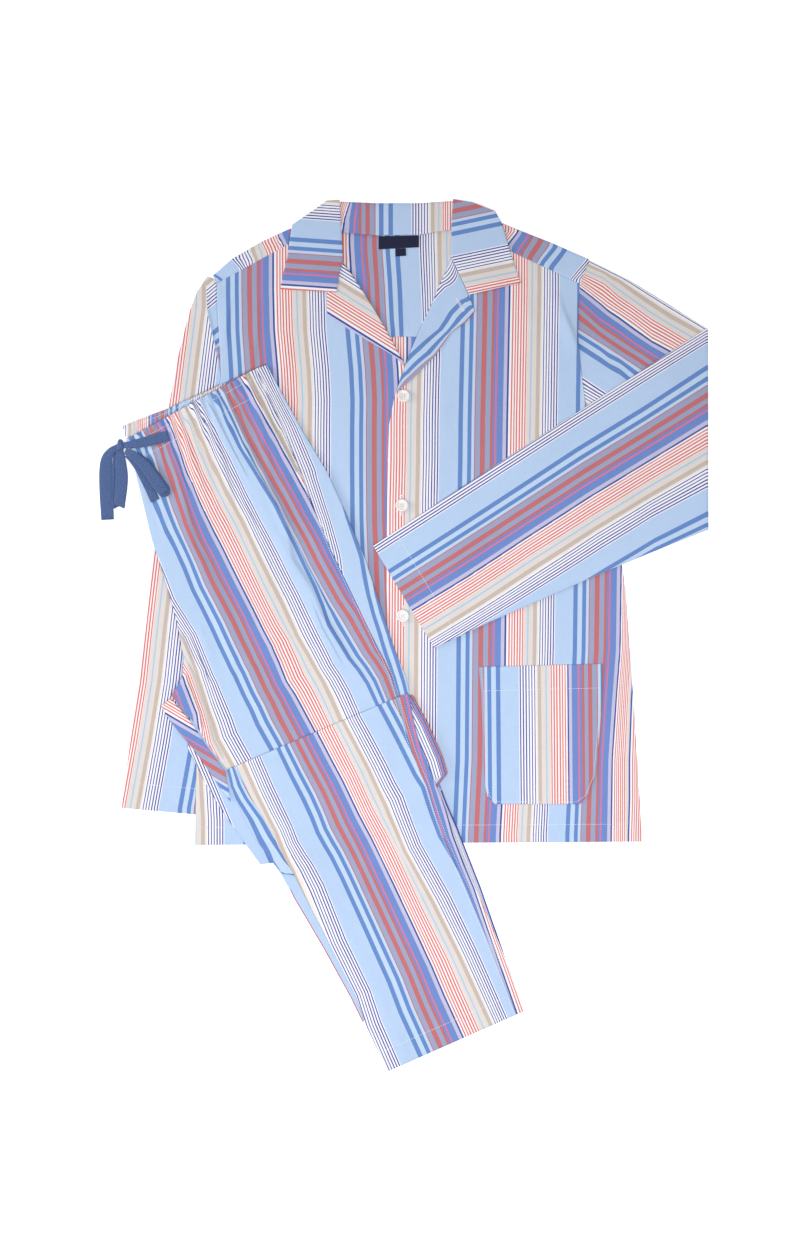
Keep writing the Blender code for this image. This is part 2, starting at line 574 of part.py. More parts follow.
def add_hidden_layers():
    """The layers under the leg that shows, as one solid. Each section is a closed ring: flat
    below, stepped like pressed cloth edges at the sides, and rising on top to the cross fold."""
    left, right = edges(LEG_HIDDEN)
    places = row_places(left, right, 40)
    thick = np.interp(places, np.arange(len(LEG_HIDDEN)), [row.thick for row in LEG_HIDDEN])
    left, right = along(left, places), along(right, places)
    length = np.linalg.norm(right - left, axis=1, keepdims=True)
    columns = np.array([0, .05, .1, .15, .25, .4, .6, .8, 1])
    heights = np.array([0.25, 0.5, 0.75])
    steps = np.array([0.9, -0.5, 0.9])
    unit = (right - left) / length
    below = left[:, None] + (right - left)[:, None] * columns[None, :, None]
    right_side = right[:, None] + unit[:, None] * steps[None, :, None]
    left_side = left[:, None] - unit[:, None] * steps[None, :, None]
    ring = np.concatenate([below, right_side, below[:, ::-1], left_side], axis=1)
    rise = ease((columns[None, ::-1] * length - 8) / (PLEAT_INSET - 10))
    top = LEG_LAYERS + (thick[:, None] - LEG_LAYERS) * rise
    height = np.concatenate([0 * top, top[:, :1] * heights, top, top[:, -1:] * heights[::-1]], axis=1)
    floor = trouser_support(ring[..., 0], ring[..., 1])
    points = to_metres(ring[..., 0], ring[..., 1], floor + height)
    rows, count = ring.shape[:2]
    grid = np.arange(rows * count).reshape(rows, count)
    shifted = np.roll(grid, -1, axis=1)
    sides = np.stack([grid[:-1], shifted[:-1], shifted[1:], grid[1:]], axis=-1).reshape(-1, 4)
    mesh = bpy.data.meshes.new("trousers_hidden_layers")
    caps = [grid[0, ::-1].tolist(), grid[-1].tolist()]
    mesh.from_pydata(points.reshape(-1, 3).tolist(), [], sides.tolist() + caps)
    link(bpy.data.objects.new(mesh.name, mesh), cloth_finish("hidden layers"))


def add_upper_leg():
    """Waist to cross fold: the front panel with its gathers and folds, and the strip of the
    back panel beyond the outseam."""
    columns = even(4 * GATHER_COUNT)
    x, y = plan_grid(LEG_FRONT_UPPER, 46, columns)
    down = np.hypot(x - x[0], y - y[0])
    height = gathers(down, columns[None], GATHER_HEIGHT) + CASING_HEIGHT * ease((CASING_DEPTH - down) / 9)
    flattened = 1 - 0.6 * ease(down / down[-1] * 3 - 2)
    height += fold_height(UPPER_FOLDS, x.shape) * ease(down / 60) * flattened
    panel("leg_front_upper", x, y, trouser_support(x, y) + LEG_LEVEL + height, cloth_finish("leg front"))
    columns = even(3)
    x, y = plan_grid(LEG_BACK_UPPER, 34, columns)
    down = np.hypot(x - x[0], y - y[0])
    underside = trouser_support(x, y) + LEG_LEVEL
    underside += CASING_HEIGHT * ease((CASING_DEPTH - down) / 9)
    panel("leg_back_upper", x, y, underside, cloth_finish("leg back"))


def lower_level(x, y):
    """Underside of the lower stretch, with its folded edge turned down at the first row."""
    level = trouser_support(x, y) + LEG_LEVEL + pleat_lift(x, y)
    level[0] -= FOLD_DROP
    return level


def add_lower_leg():
    x, y = plan_grid(LEG_FRONT_LOWER, 36, even(16))
    height = fold_height(LOWER_FOLDS, x.shape)
    height *= ease(np.arange(len(x)) / 3)[:, None]
    panel("leg_front_lower", x, y, lower_level(x, y) + height, cloth_finish("leg front below"))
    x, y = plan_grid(LEG_INSEAM_LOWER, 36, even(2))
    panel("leg_inseam_lower", x, y, lower_level(x, y), cloth_finish("leg inseam below"))
    x, y = plan_grid(LEG_BACK_LOWER, 36, even(2))
    panel("leg_back_lower", x, y, lower_level(x, y), cloth_finish("leg back below"))


def add_waist_back():
    """The inside of the back waist, showing above the front's drawn edge."""
    left, right = edges(WAIST_BACK)
    places = np.linspace(0, len(left) - 1, 4 * GATHER_COUNT - 3)
    top, bottom = along(left, places), along(right, places)
    grid = top[:, None] + (bottom - top)[:, None] * even(2)[None, :, None]
    x, y = grid[..., 0], grid[..., 1]
    wave = gathers(0 * x, np.linspace(0, 1, len(x))[:, None], 0.6)
    panel("waist_back", x, y, trouser_support(x, y) + SEAM_GAP + wave, cloth_finish("waist back"))


def add_crotch_point():
    """Lies on the layers below at the leg, and on the jacket beyond them."""
    x, y = plan_grid(CROTCH_POINT, 20, even(3))
    layers = (LEG_LAYERS + LAY_GAP) * cover(x, y, outline(LEG_HIDDEN[7:12]), 4, 26)
    underside = trouser_support(x, y) + SEAM_GAP + layers + pleat_lift(x, y)
    panel("crotch_point", x, y, underside, cloth_finish("crotch point"))


# ------------------------------------------------------------------ drawstring


def smooth_route(points, count):
    """count points on a Catmull-Rom curve through a route's own points."""
    route = np.array(points, float)
    padded = np.concatenate([2 * route[:1] - route[1:2], route, 2 * route[-1:] - route[-2:-1]])
    places = np.linspace(0, len(route) - 1, count)
    cell = np.minimum(places.astype(int), len(route) - 2)
    t = (places - cell)[:, None]
    p0, p1, p2, p3 = (padded[cell + i] for i in range(4))
    return 0.5 * (2 * p1 + (p2 - p0) * t + (2 * p0 - 5 * p1 + 4 * p2 - p3) * t**2
                  + (3 * p1 - p0 - 3 * p2 + p3) * t**3)


def tape(name, points, count, material):
    """Flat tape: a strip swept along its route, its width level and square to the route."""
    route = smooth_route(points, count)
    heading = np.array(points[min(3, len(points) - 1)][:2]) - np.array(points[0][:2])
    run = np.gradient(route[:, :2], axis=0)
    run = np.where((run @ heading)[:, None] < 0, -run, run)
    run[1:-1] = (run[:-2] + run[1:-1] + run[2:]) / 3
    run /= np.maximum(np.linalg.norm(run, axis=1, keepdims=True), 1e-9)
    across = np.stack([-run[:, 1], run[:, 0]], axis=-1) * route[:, 3, None]
    shares = np.array([-0.5, 0, 0.5])
    x = route[:, None, 0] + across[:, None, 0] * shares[None]
    y = route[:, None, 1] + across[:, None, 1] * shares[None]
    level = route[:, 2, None] + TAPE_THICK / 2 + 0 * x
    return folded_panel(name, x, y, level, TAPE_THICK, material)


def add_drawstring():
    slate = finish("tape", 0.07, 0.12, 0.3, 0.9)
    mesh = bpy.data.meshes.new("drawstring_knot")
    ball = bmesh.new()
    bmesh.ops.create_uvsphere(ball, u_segments=16, v_segments=10, radius=0.5)
    for vert in ball.verts:
        squared = [math.copysign(abs(2 * c) ** 0.75 / 2, c) for c in vert.co]
        vert.co = [c * size / 1000 for c, size in zip(squared, KNOT_SIZE)]
    ball.to_mesh(mesh)
    ball.free()
    knot = link(bpy.data.objects.new("drawstring_knot", mesh), slate)
    knot.location = to_metres(KNOT.x, KNOT.y, KNOT_SIZE[2] / 2 + 0.3)
    tape("drawstring_lead", TAPE_LEAD, 11, slate)
    tape("drawstring_loop_left", TAPE_LOOP_LEFT, 37, slate)
    tape("drawstring_end_left", TAPE_END_LEFT, 16, slate)
    tape("drawstring_loop_right", TAPE_LOOP_RIGHT, 37, slate)
    tape("drawstring_end_right", TAPE_END_RIGHT, 8, slate)


def main():
    clear_scene()
    for add in (add_back, add_yoke, add_fronts, add_facings, add_collar, add_labels, add_pocket,
                add_right_sleeve, add_left_sleeve, add_buttons, add_hidden_layers, add_upper_leg,
                add_lower_leg, add_waist_back, add_crotch_point, add_drawstring):
        add()


if __name__ == "__main__":
    main()
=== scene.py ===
"""Pyjama set laid out flat: a long-sleeved jacket with an open collar, and drawstring trousers
folded once across the leg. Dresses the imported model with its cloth, seams, buttons and tape.

Run as a script. The plan tables are in millimetres from a datum on the jacket: x to the right
from the button line, y up from the hem. Every panel is a table of sections, each joining a
point on one edge to a point on the other, and the cloth is the surface that they sweep.
The stripe tables count in stripe units, 120 to the repeat of the shirting and 1.25 mm each.
"""

import math
from collections import namedtuple

import bpy
import numpy as np
from bpy.props import FloatProperty, FloatVectorProperty, IntProperty, PointerProperty
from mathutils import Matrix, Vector


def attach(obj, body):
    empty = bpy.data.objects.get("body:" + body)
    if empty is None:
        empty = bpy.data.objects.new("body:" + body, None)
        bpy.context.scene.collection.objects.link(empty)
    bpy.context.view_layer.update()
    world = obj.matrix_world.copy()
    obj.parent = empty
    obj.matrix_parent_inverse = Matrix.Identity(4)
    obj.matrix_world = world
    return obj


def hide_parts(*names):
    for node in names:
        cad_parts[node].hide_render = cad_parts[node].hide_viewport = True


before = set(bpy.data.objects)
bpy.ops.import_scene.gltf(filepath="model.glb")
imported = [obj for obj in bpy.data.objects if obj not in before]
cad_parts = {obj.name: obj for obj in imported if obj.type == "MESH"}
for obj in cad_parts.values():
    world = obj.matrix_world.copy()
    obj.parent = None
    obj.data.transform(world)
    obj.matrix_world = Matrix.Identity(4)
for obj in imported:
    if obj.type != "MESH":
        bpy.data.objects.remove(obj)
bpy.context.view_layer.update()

bl_info = {
    "name": "Striped pyjama set",
    "version": (1, 0, 0),
    "blender": (4, 5, 0),
    "location": "View3D > Sidebar > Pyjamas",
    "description": "Cloth, seams, buttons and drawstring of a striped pyjama set laid out flat",
    "category": "Object",
}

# ------------------------------------------------------------------ driving dimensions (mm)

PLAN_CENTRE = (15.4, 259.5)  # middle of the laid-out garments, seen from the datum

CLOTH = 1.0  # wall of one panel
LAY_GAP = 0.4  # air between two panels that lie on each other
SEAM_GAP = 0.3  # air between two panels that are sewn edge to edge
FLAT_SLEEVE = 1.8  # a sleeve pressed flat, its two walls together
COLLAR_ROLL = 3.6  # collar stand with the fall folded away behind it
LEG_LAYERS = 1.8  # the other leg's layers, pressed under the leg that shows
PLEAT_LAYERS = 5.0  # all that is hidden where the trousers are folded across

FRONT_LEVEL = CLOTH + LAY_GAP  # underside of the fronts, above the back
LAPEL_LEVEL = FRONT_LEVEL + CLOTH + LAY_GAP
OVERLAP_LIFT = CLOTH + LAY_GAP  # left front where it laps over the right front
SLEEVE_LIFT = FLAT_SLEEVE + LAY_GAP  # body where the right sleeve is tucked under it
FOREARM_LEVEL = LAPEL_LEVEL
LEAF_LEVEL = LAPEL_LEVEL + CLOTH + LAY_GAP  # collar leaf where it lies on the lapel
LEG_LEVEL = LEG_LAYERS + 0.6  # trouser panel above what carries the trousers

LABEL_CLOTH = 0.8  # wall of the labels
POCKET_WIDTH = 148.0
POCKET_RISE = 0.25  # how far the pocket's middle stands above its sewn edge

BUTTON_WIDTH, BUTTON_HEIGHT = 16.0, 3.2
HOLE_REACH, HOLE_RADIUS, HOLE_SLOPE, HOLE_FLOOR = 2.0, 0.62, 0.42, 0.5  # a button's four holes
TAPE_THICK, TAPE_WIDTH = 1.6, 13.0
TAPE_SIDES, TAPE_STEP = 14, 2.4  # points round the tape, and from one ring to the next
UNIT = 1.25  # one of the 120 parts of the stripe repeat
REPEAT = 120.0
CLOSEST = 1.25  # stripe numbers to a unit of cloth, where the stripes run closest
GRID = 3.6  # spacing of the cloth grids
EDGE = 0.7  # width of the turned edge round every panel
TUBE_HOLLOW = 0.28  # air between the two walls of a pressed sleeve
TUBE_RIM = 0.3  # how far a pressed sleeve's folded edges stand out

# ------------------------------------------------------------------ plan tables (mm)

# A panel is a table of sections: x and y on its left edge, then x and y on its right edge.

# Edges that two pieces share.
NECK_SEAM = ((-75, 763), (-32, 759.5), (21, 760), (61, 766.5))
ARMHOLE_LEFT = (
    (234, 728), (222.5, 699), (220, 668), (220, 633), (226, 572), (232, 529), (251, 495))

# The yoke: its inside from the back seam up to the shoulder folds, then two strips that come
# over the shoulders to the front seams.
YOKE_ROWS = ((-228, 633, 220, 633), (-229.7, 668, 220, 668), (-231.5, 699, 222, 699))
YOKE_TOP = (
    (-236, 708), (-212, 729), (-176, 750), (-139, 767), *NECK_SEAM, (124, 774), (148, 764),
    (186, 749), (234, 728))
YOKE_STRIP_POINTS = 3  # how many points in from either end of YOKE_TOP a strip goes
YOKE_SEAM_RIGHT = ((-226, 702), (-201, 715.8), (-168, 733.9), (-140, 749.2))
YOKE_SEAM_LEFT = ((130, 742.2), (158, 729), (185, 716.4), (222, 699))

JACKET_BACK = (
    (-228, 632.6, 220, 632.6), (-226, 579, 225, 580), (-239, 522, 232, 529), (-246, 491, 251, 495),
    (-251, 354, 265, 422), (-254, 241, 279, 316), (-256, 114, 289, 179), (-258, -2, 300, 2))

FRONT_RIGHT = (
    (-231, 699.3, -142, 748), (-231, 691, -108, 738), (-231, 679, -74, 726), (-229, 654, -49, 690),
    (-227, 616, -20, 642), (-226, 579, 4, 596), (-239, 522, 14, 535), (-246, 491, 17, 491),
    (-251, 354, 18, 354), (-254, 241, 18, 241), (-256, 114, 18, 114), (-258, -2, 18, 0))
FRONT_LEFT = (
    (128, 743, 221.6, 699), (95, 739, 221, 682), (61, 731, 220, 668), (48, 700, 219.6, 648),
    (38, 675, 219.6, 633), (25, 648, 222, 601), (6, 601, 226, 572), (-10, 554, 232, 529),
    (-16, 522, 251, 495), (-19, 429, 265, 422), (-19, 316, 279, 316), (-16, 179, 289, 179),
    (-15, 0, 300, 2))

# Where the left front laps over the right one, from the crossing of the lapels to the hem.
OVERLAP = (
    (4, 599, 6, 600), (-10, 554, 12, 554), (-16, 522, 14, 532), (-19, 429, 18, 429),
    (-19, 241, 18, 241), (-15, 0, 18, 0))

# The facings turn back at the roll line and show as lapels: roll edge, outer edge.
FACING_RIGHT = (
    (-74, 724, -94, 694), (-65, 713, -93, 659.5), (-49, 689, -66, 641.5), (-34, 665, -41, 626.5),
    (-20, 641, -20, 614.5), (-9, 620, -6, 605), (2.5, 600, 0.5, 597.5))
FACING_LEFT = (
    (62, 729, 76, 700), (48, 699, 91, 665), (38, 674, 80, 651), (25, 647, 61, 638),
    (12, 617, 42, 609), (2, 591, 15, 582), (-7, 565, -3.5, 566))

# Collar: the stand with the hidden fall under it (top, neck seam), and the two leaves.
COLLAR_STAND = (
    (-128, 776, -126, 769), (-105, 792, -102, 767.5), (-79, 801, -75, 763.4),
    (-32, 799, -32, 759.9), (21, 799, 21, 760.4), (64, 802, 61, 766.9), (88, 798, 90, 771.5),
    (112, 788, 115, 774.8))
LEAF_RIGHT = (
    (-94, 802, -78, 803), (-118, 785, -77, 784), (-137, 772, -76, 765), (-140, 754, -75, 748),
    (-143, 730, -74, 729), (-148, 712, -78, 712), (-152, 692, -82, 688))
LEAF_LEFT = (
    (64, 804, 88, 800), (63, 790, 116, 789), (62, 775, 124, 775), (62, 756, 129, 759),
    (61, 734, 134, 741), (70, 714, 141, 721), (84, 685, 148, 700))
LEAVES_LEAVE_STAND = 745  # y below which a leaf eases down onto the front
CALM_ABOVE = 705  # y above which the body lies flat

NECK_LABEL = ((-29, 758, 21, 759), (-29, 742, 21, 744.5))
SIZE_TAB = ((-8, 742.3, 4.5, 743), (-8, 733, 5, 734))

POCKET = (
    (96, 220, 250, 224), (99, 189, 250, 192), (101, 129, 247, 141), (104, 72, 242, 85),
    (107, 58, 232, 60), (116, 49, 222, 49))

# Right sleeve, straight down with its inner side tucked under the body: outer, inner edge.
SLEEVE_RIGHT = (
    (-243, 708, -236.6, 706), (-256, 689, -231.6, 698), (-265.5, 664, -231.6, 679),
    (-273.5, 633, -230, 654), (-281.5, 601, -228, 616), (-287, 568, -226.6, 579),
    (-292, 541, -240, 521.5), (-298, 479, -220, 476), (-308, 391, -208, 385),
    (-319, 279, -205, 269), (-329, 204, -205, 191), (-339, 129, -205, 116), (-350, 44, -205, 31))
SLEEVE_CAP_FOLD = (
    (-244.7, 700), (-244.7, 694.4), (-243.1, 666), (-236.9, 635), (-230.6, 610), (-225.9, 578.8))
SLEEVE_TUCK_ROW = 6  # from this section on, the right sleeve runs under the body

# Left sleeve: out to the fold at the elbow, then back across the front: top, bottom edge.
LEFT_SLEEVE_WIDTH = 250
LEFT_SLEEVE_ELBOW, LEFT_SLEEVE_CAP = 378, 236  # the x where its folds die away
SLEEVE_LEFT_OUT = ((285, 702.7, 298, 461), (335, 671.7, 341, 425), (380, 643.5, 380.5, 391))
SLEEVE_LEFT_BACK = (
    (380, 642.5, 380.5, 391), (298, 589, 316, 365), (210, 532, 255, 340), (122, 475, 182, 308),
    (35, 418, 108, 276), (-36, 371, 40, 244))

# Trousers. The left leg's front panel lies uppermost: centre-front edge, outseam. Its edge runs
# out to the front's crotch extension and back before the cross fold.
LEG_FRONT_UPPER = (
    (-344, 504, -182, 592), (-337, 482, -172, 569), (-324, 429, -150, 522), (-312, 379, -128, 466),
    (-296, 332, -109, 414), (-280, 276, -86, 360), (-272, 231, -62, 310), (-273.7, 207.5, -51, 287),
    (-287.5, 184, -40, 264), (-265, 159, -30, 243), (-253, 142, -22, 228), (-242.5, 125, -14, 210),
    (-218, 92, -6, 182))
LEG_BACK_UPPER = (
    (-181.6, 592.2, -169, 597), (-171.6, 569.2, -154, 569), (-149.6, 522.2, -124, 514),
    (-127.6, 466.2, -94, 464), (-108.6, 414.2, -69, 409), (-85.6, 360.2, -46, 354),
    (-61.6, 310.2, -28, 299), (-39.6, 264.2, -10, 244), (-21.2, 228.4, 4, 209),
    (-13.3, 210.2, 6.8, 198), (-5.2, 182.4, 9, 188))
# Below the cross fold: the front panel from inseam to outseam, with the back panel turned over
# on to the front along both.
LEG_FRONT_LOWER = (
    (-207.8, 96.4, -8, 181.2), (-206.8, 93.5, -7, 178.7), (-188.3, 58.8, 2.5, 148),
    (-172.7, 33.5, 12.5, 115), (-160.6, 12, 22.5, 89), (-152.5, -6.5, 30.5, 72),
    (-144.5, -21.5, 35, 56.5), (-135.7, -36, 40.7, 38), (-122.5, -63, 50.5, 11),
    (-89.6, -127, 80, -57), (-57.6, -190.6, 108.3, -125.3), (-43.8, -229.2, 122, -161),
    (-18, -285, 142.5, -214))
LEG_INSEAM_LOWER = (
    (-217.5, 92.2, -208.2, 96.2), (-216.5, 89.6, -207.2, 93.3), (-212.5, 71, -198.1, 75.9),
    (-206, 54, -188.7, 58.6), (-195, 29, -173.1, 33.3), (-182.5, 6, -161, 11.8),
    (-171, -9, -152.9, -6.7), (-162.5, -21, -144.9, -21.7), (-149, -37.5, -136.1, -36.2),
    (-135, -68, -122.9, -63.2), (-98, -131, -90, -127.2), (-64, -192.8, -58, -190.8),
    (-49.3, -223, -47.3, -222.3))
LEG_BACK_LOWER = (
    (-7.6, 181.4, 6.5, 187.5), (-6.6, 178.9, 8.5, 185.2), (2.9, 148.2, 15.5, 148),
    (12.9, 115.2, 24.5, 117), (22.9, 89.2, 35.5, 90), (30.9, 72.2, 43, 70),
    (35.4, 56.7, 50, 54), (41.1, 38.2, 56, 38), (50.9, 11.2, 64.5, 8),
    (66.2, -23.8, 78, -27), (80.4, -56.8, 92, -57), (108.7, -125.1, 118, -117.5),
    (122.4, -160.8, 134, -157), (142.9, -213.8, 152, -210))
WAIST_BACK = (
    (-349, 521, -344.5, 504.5), (-332, 528, -326, 512.5), (-289, 544, -296, 528),
    (-252, 560, -269, 543), (-222, 574, -238, 560), (-196, 586, -199, 582))
# The back panel's crotch extension beside the front's: its seam, its outer edge.
CROTCH_POINT = (
    (-289, 181, -300, 171), (-277.5, 168, -289, 152.5), (-266, 155, -269, 129),
    (-254.5, 138.5, -252.5, 107.5), (-243.5, 121, -236, 84), (-231.5, 105, -225, 67.5),
    (-220, 89, -213.5, 52.5))

# What is hidden under the leg that shows, from waist to hem: inseam side, outseam side.
LEG_HIDDEN = (
    (-342, 501, -171, 591), (-335, 479, -157, 563), (-321, 426, -127, 509), (-310, 378, -98, 462),
    (-294, 331, -73, 406), (-278, 276, -51, 352), (-270, 229, -32, 297), (-262, 178, -14, 242),
    (-266, 119, -2, 209), (-246, 79, 4, 185), (-244, 75.5, 13, 184), (-230, 51, 32, 149),
    (-209, 20, 50, 108), (-176, -26, 56, 87), (-160, -24, 46, 74), (-148, -42, 55, 50),
    (-131.5, -72.5, 68, 20), (-94, -134, 97, -54), (-59, -195, 124, -131), (-17, -281, 149.5, -209))
PLEAT_ROWS = slice(10, 14)  # the rows of LEG_HIDDEN that are folded three times over
PLEAT_INSET = 40.0  # from the inseam side, how far in the fold reaches its full height
FOLD_DROP = 1.0  # how far the folded edge of the lower stretch turns down

# Gathers at the drawn waist, and the largest folds of the upper leg. A fold runs along the
# leg at a share of its width: at the waist, half way down and at the cross fold.
GATHER_COUNT, GATHER_HEIGHT, GATHER_REACH = 17, 2.1, 50.0
CASING_DEPTH, CASING_HEIGHT = 20.0, 0.5
Fold = namedtuple("Fold", "waist middle crossing height width")
UPPER_FOLDS = [Fold(0.64, 0.75, 0.90, 1.7, 7.0), Fold(0.32, 0.25, 0.40, 1.3, 8.0),
               Fold(0.86, 0.93, 0.97, 0.9, 6.0)]
LOWER_FOLDS = [Fold(0.06, 0.14, 0.16, 1.2, 8.0), Fold(0.92, 0.72, 0.80, 0.8, 11.0)]

# Drawstring: flat tape out of the casing's buttonhole to a bow. Each point has its x and y, the
# level of the tape's underside and the tape's width there.
KNOT = (-351.5, 496.5)
KNOT_SIZE = (10.0, 16.0, 7.6)
TAPE_LEAD = (
    (-291, 508, 9.3, 13), (-304, 505, 8.8, 13), (-317, 501.5, 8.1, 12.5), (-330, 498.5, 7.6, 11),
    (-340, 497, 6.9, 9), (-345.9, 496.7, 5.2, 8))
TAPE_LOOP_LEFT = (
    (-352.2, 490.4, 4.6, 9), (-351.2, 479, 5.6, 13), (-349.5, 460, 6.2, 15.5),
    (-350, 445, 6.4, 15.5), (-351.4, 432, 6.4, 15), (-352.4, 424.5, 5.6, 14.5),
    (-352.8, 421.3, 3.5, 14.5), (-353.4, 424.5, 1.3, 14.5), (-353.4, 432, 0.4, 15),
    (-353.6, 445, 0.3, 15), (-353.6, 460, 0.4, 15), (-354.5, 478, 1.1, 14),
    (-354.5, 490.4, 1.9, 10))
TAPE_END_LEFT = (
    (-357.9, 493, 3.0, 8), (-363.4, 489, 2.6, 10), (-368.5, 480, 1.2, 14), (-370, 466, 0.3, 16.5),
    (-369.6, 440, 0.3, 17), (-367.8, 404, 0.3, 16))
TAPE_LOOP_RIGHT = (
    (-345.0, 489.2, 6.6, 8), (-336, 484.5, 10.6, 10), (-323, 474, 12.0, 13),
    (-310, 457, 12.2, 14.5), (-302, 445.5, 12.2, 14.5), (-297.4, 439.6, 12.0, 14),
    (-296, 437.8, 10.9, 14), (-297.4, 439.6, 9.9, 14), (-302, 445.5, 9.5, 14),
    (-310, 457, 9.4, 14), (-323, 474, 9.2, 12), (-336, 484.5, 8.0, 8), (-345.0, 489.2, 4.2, 6))
TAPE_END_RIGHT = (
    (-327, 468, 6.7, 12), (-321, 456, 6.9, 12), (-314, 442, 7.1, 12), (-307.5, 427.5, 7.4, 12))

BUTTON_PLACES = ((2.2, 558.6), (0, 422), (1, 284))

# ------------------------------------------------------------------ stripe tables

Band = namedtuple("Band", "start colour")  # a colour of the shirting, from one place to the next
Lay = namedtuple("Lay", "x y number heading rate")  # straight stripes through one point


def lines_of(colour, places, width):
    """Thin lines on white: a band for each line and one for the white after it."""
    return [band for place in places
            for band in (Band(place - width / 2, colour), Band(place + width / 2, "white"))]


FIRST_HALF = [Band(0, "white"), *lines_of("coral", (2.0, 4.9, 7.7, 10.6, 13.4, 16.2), 1.35),
              Band(17.3, "beige"), Band(21, "sky"), Band(22.5, "beige"), Band(27, "tan"),
              Band(31, "cream"), Band(33, "white"),
              *lines_of("violet", (34.6, 37.4, 40.2, 43.1, 46.0, 48.8), 1.1),
              Band(50.3, "light_blue")]
SECOND_HALF = [Band(60, "light_blue"), Band(69.2, "royal"), Band(73.6, "pale_sky"),
               Band(78.4, "royal"), Band(82.5, "pale_sky"), Band(85.2, "brick"),
               Band(86.2, "grey_blue"), Band(91, "brick"), Band(96, "grey_blue"),
               Band(101, "brick"), Band(103.7, "mid_blue"), Band(105.6, "pink"),
               Band(107.3, "mid_blue"), Band(113.5, "lilac"), Band(117, "navy"), Band(119, "white")]


def upright(*stripes):
    """Guides that run straight up the plan, from stripe numbers with their places."""
    return tuple((number, ((place, 0),)) for number, place in stripes)


FRONT_RIGHT_GUIDES = (
    (0, ((-243, 553), (-243, 513), (-242.4, 473), (-241, 443), (-241.5, 413), (-241.4, 373),
         (-241, 323), (-235, 150), (-227.8, 23))),
    (122, ((-125, 553), (-124, 513), (-120.4, 473), (-119, 443), (-119.4, 413), (-119.4, 373),
           (-119, 323), (-112.5, 150), (-105.8, 23))))
FRONT_LEFT_GUIDES = (
    (0, ((-10.5, 553), (-10.4, 513), (-12, 463), (-12.9, 423), (-13, 383), (-14, 343),
         (-14.8, 223), (-15, 193), (-15.5, 83), (-17.5, 8))),
    (118, ((107.5, 553), (105, 423), (104, 343), (103.3, 223), (103, 193), (102, 83), (98, 8))),
    (168.8, ((156, 553), (153, 343), (151, 193), (147.5, 83), (144, 8))),
    (191.4, ((177, 553), (174.5, 343), (172.5, 193), (168.5, 83), (165, 8))),
    (238, ((223, 553), (220, 343), (218, 193), (214, 143), (210, 83), (209, 8))),
    (256.2, ((234, 553), (231, 343), (227.5, 193), (225, 143), (222, 83), (222, 8))))
# The left front's side seam, in millimetres, and the stripes beyond it.
SIDE_SEAM = ((290, 250), (285, 178.75), (282.5, 103.75), (282.5, 53.75), (281.25, 10))
SIDE_SEAM_NUMBER, SIDE_SEAM_RATE = 236.4, 1.3
POCKET_GUIDES = tuple((number, ((place, 176), (place + 1.2, 40))) for number, place in (
    (80.45, 87), (71.4, 96), (48.8, 118), (34.6, 132.5), (29, 137), (16.2, 149), (2, 163),
    (-2, 165.5), (-9.35, 172), (-13.45, 176), (-17.65, 181), (-26.5, 187.5), (-34.3, 195)))
YOKE_GUIDES = (
    *upright((178, -186), (125, -58.5)),
    (118, ((-52.5, 598), (-51.5, 583), (-49.5, 543), (-48, 511))),
    (102.35, ((-36, 598), (-35.5, 583), (-33, 563), (-31.5, 511))),
    (93.5, ((-27.5, 598), (-26.5, 583), (-25.5, 563), (-24.5, 543), (-23.5, 511))),
    (85.7, ((-20.5, 598), (-19.5, 583), (-18, 563), (-17, 543), (-16, 523), (-15, 511))),
    (80.45, ((-14.5, 598), (-13.5, 583), (-12, 563), (-11, 543), (-10, 523), (-8.5, 511))),
    (71.4, ((-4.5, 598), (-4, 583), (-2.5, 563), (-1.5, 543), (-0.5, 511))),
    (48.8, ((18.5, 598), (19, 583), (20, 563), (21, 543), (22, 511))),
    (34.6, ((32, 598), (32.5, 583), (33, 563), (33.5, 511))),
    (29, ((37.5, 598), (38, 573), (38.5, 511))))
YOKE_STRIP_RIGHT = (
    (69.2, ((-187.5, 569), (-179, 563.8))), (48.8, ((-169.5, 583.8), (-160.4, 574.1))),
    (34.6, ((-154.5, 591.3), (-149.4, 582.2))), (16.2, ((-140, 600.7), (-134.4, 590))),
    (2, ((-126, 606.2), (-120, 595.5))), (-2, ((-124.3, 606.8), (-118.3, 596.8))),
    (-13.65, ((-113, 612.4), (-108, 603))))
YOKE_STRIP_LEFT = (
    (-1.5, ((115.8, 611.3), (104.7, 597.4))), (-13.65, ((126.3, 606.9), (115.2, 590.8))),
    (-26.5, ((139.1, 602.4), (127.4, 584.7))), (-39.55, ((153.6, 595.8), (139.1, 578.6))),
    (-48.6, ((163, 592.4), (148.6, 574.1))), (-71.2, ((185.8, 583), (168.6, 563))))
BACK_GUIDES = upright((9.1, -5), (-2, 5.2), (-9.35, 12))
STAND_GUIDES = (
    (133, ((-62, 640), (-65.5, 624), (-70, 610))), (118, ((-52, 640), (-57.5, 624), (-59.7, 610))),
    (113.1, ((-49.3, 640), (-51.7, 624), (-52.3, 610))),
    (106.7, ((-45.5, 640), (-48, 624), (-48.6, 610))),
    (105.2, ((-43.5, 640), (-45, 624), (-46, 610))),
    *upright((102.35, -41.5), (93.5, -34.5), (85.7, -27), (80.45, -20.5), (71.4, -11), (48.8, 11),
             (34.6, 25.5), (29, 31), (9.1, 47)))
WAIST_BACK_GUIDES = upright(
    (41, -281), (34.6, -276.3), (29, -271.5), (9.1, -260.5), (-2, -252.5), (-22, -242),
    (-44, -227.5), (-60, -217), (-78, -207), (-95, -196), (-111, -185), (-138, -170))
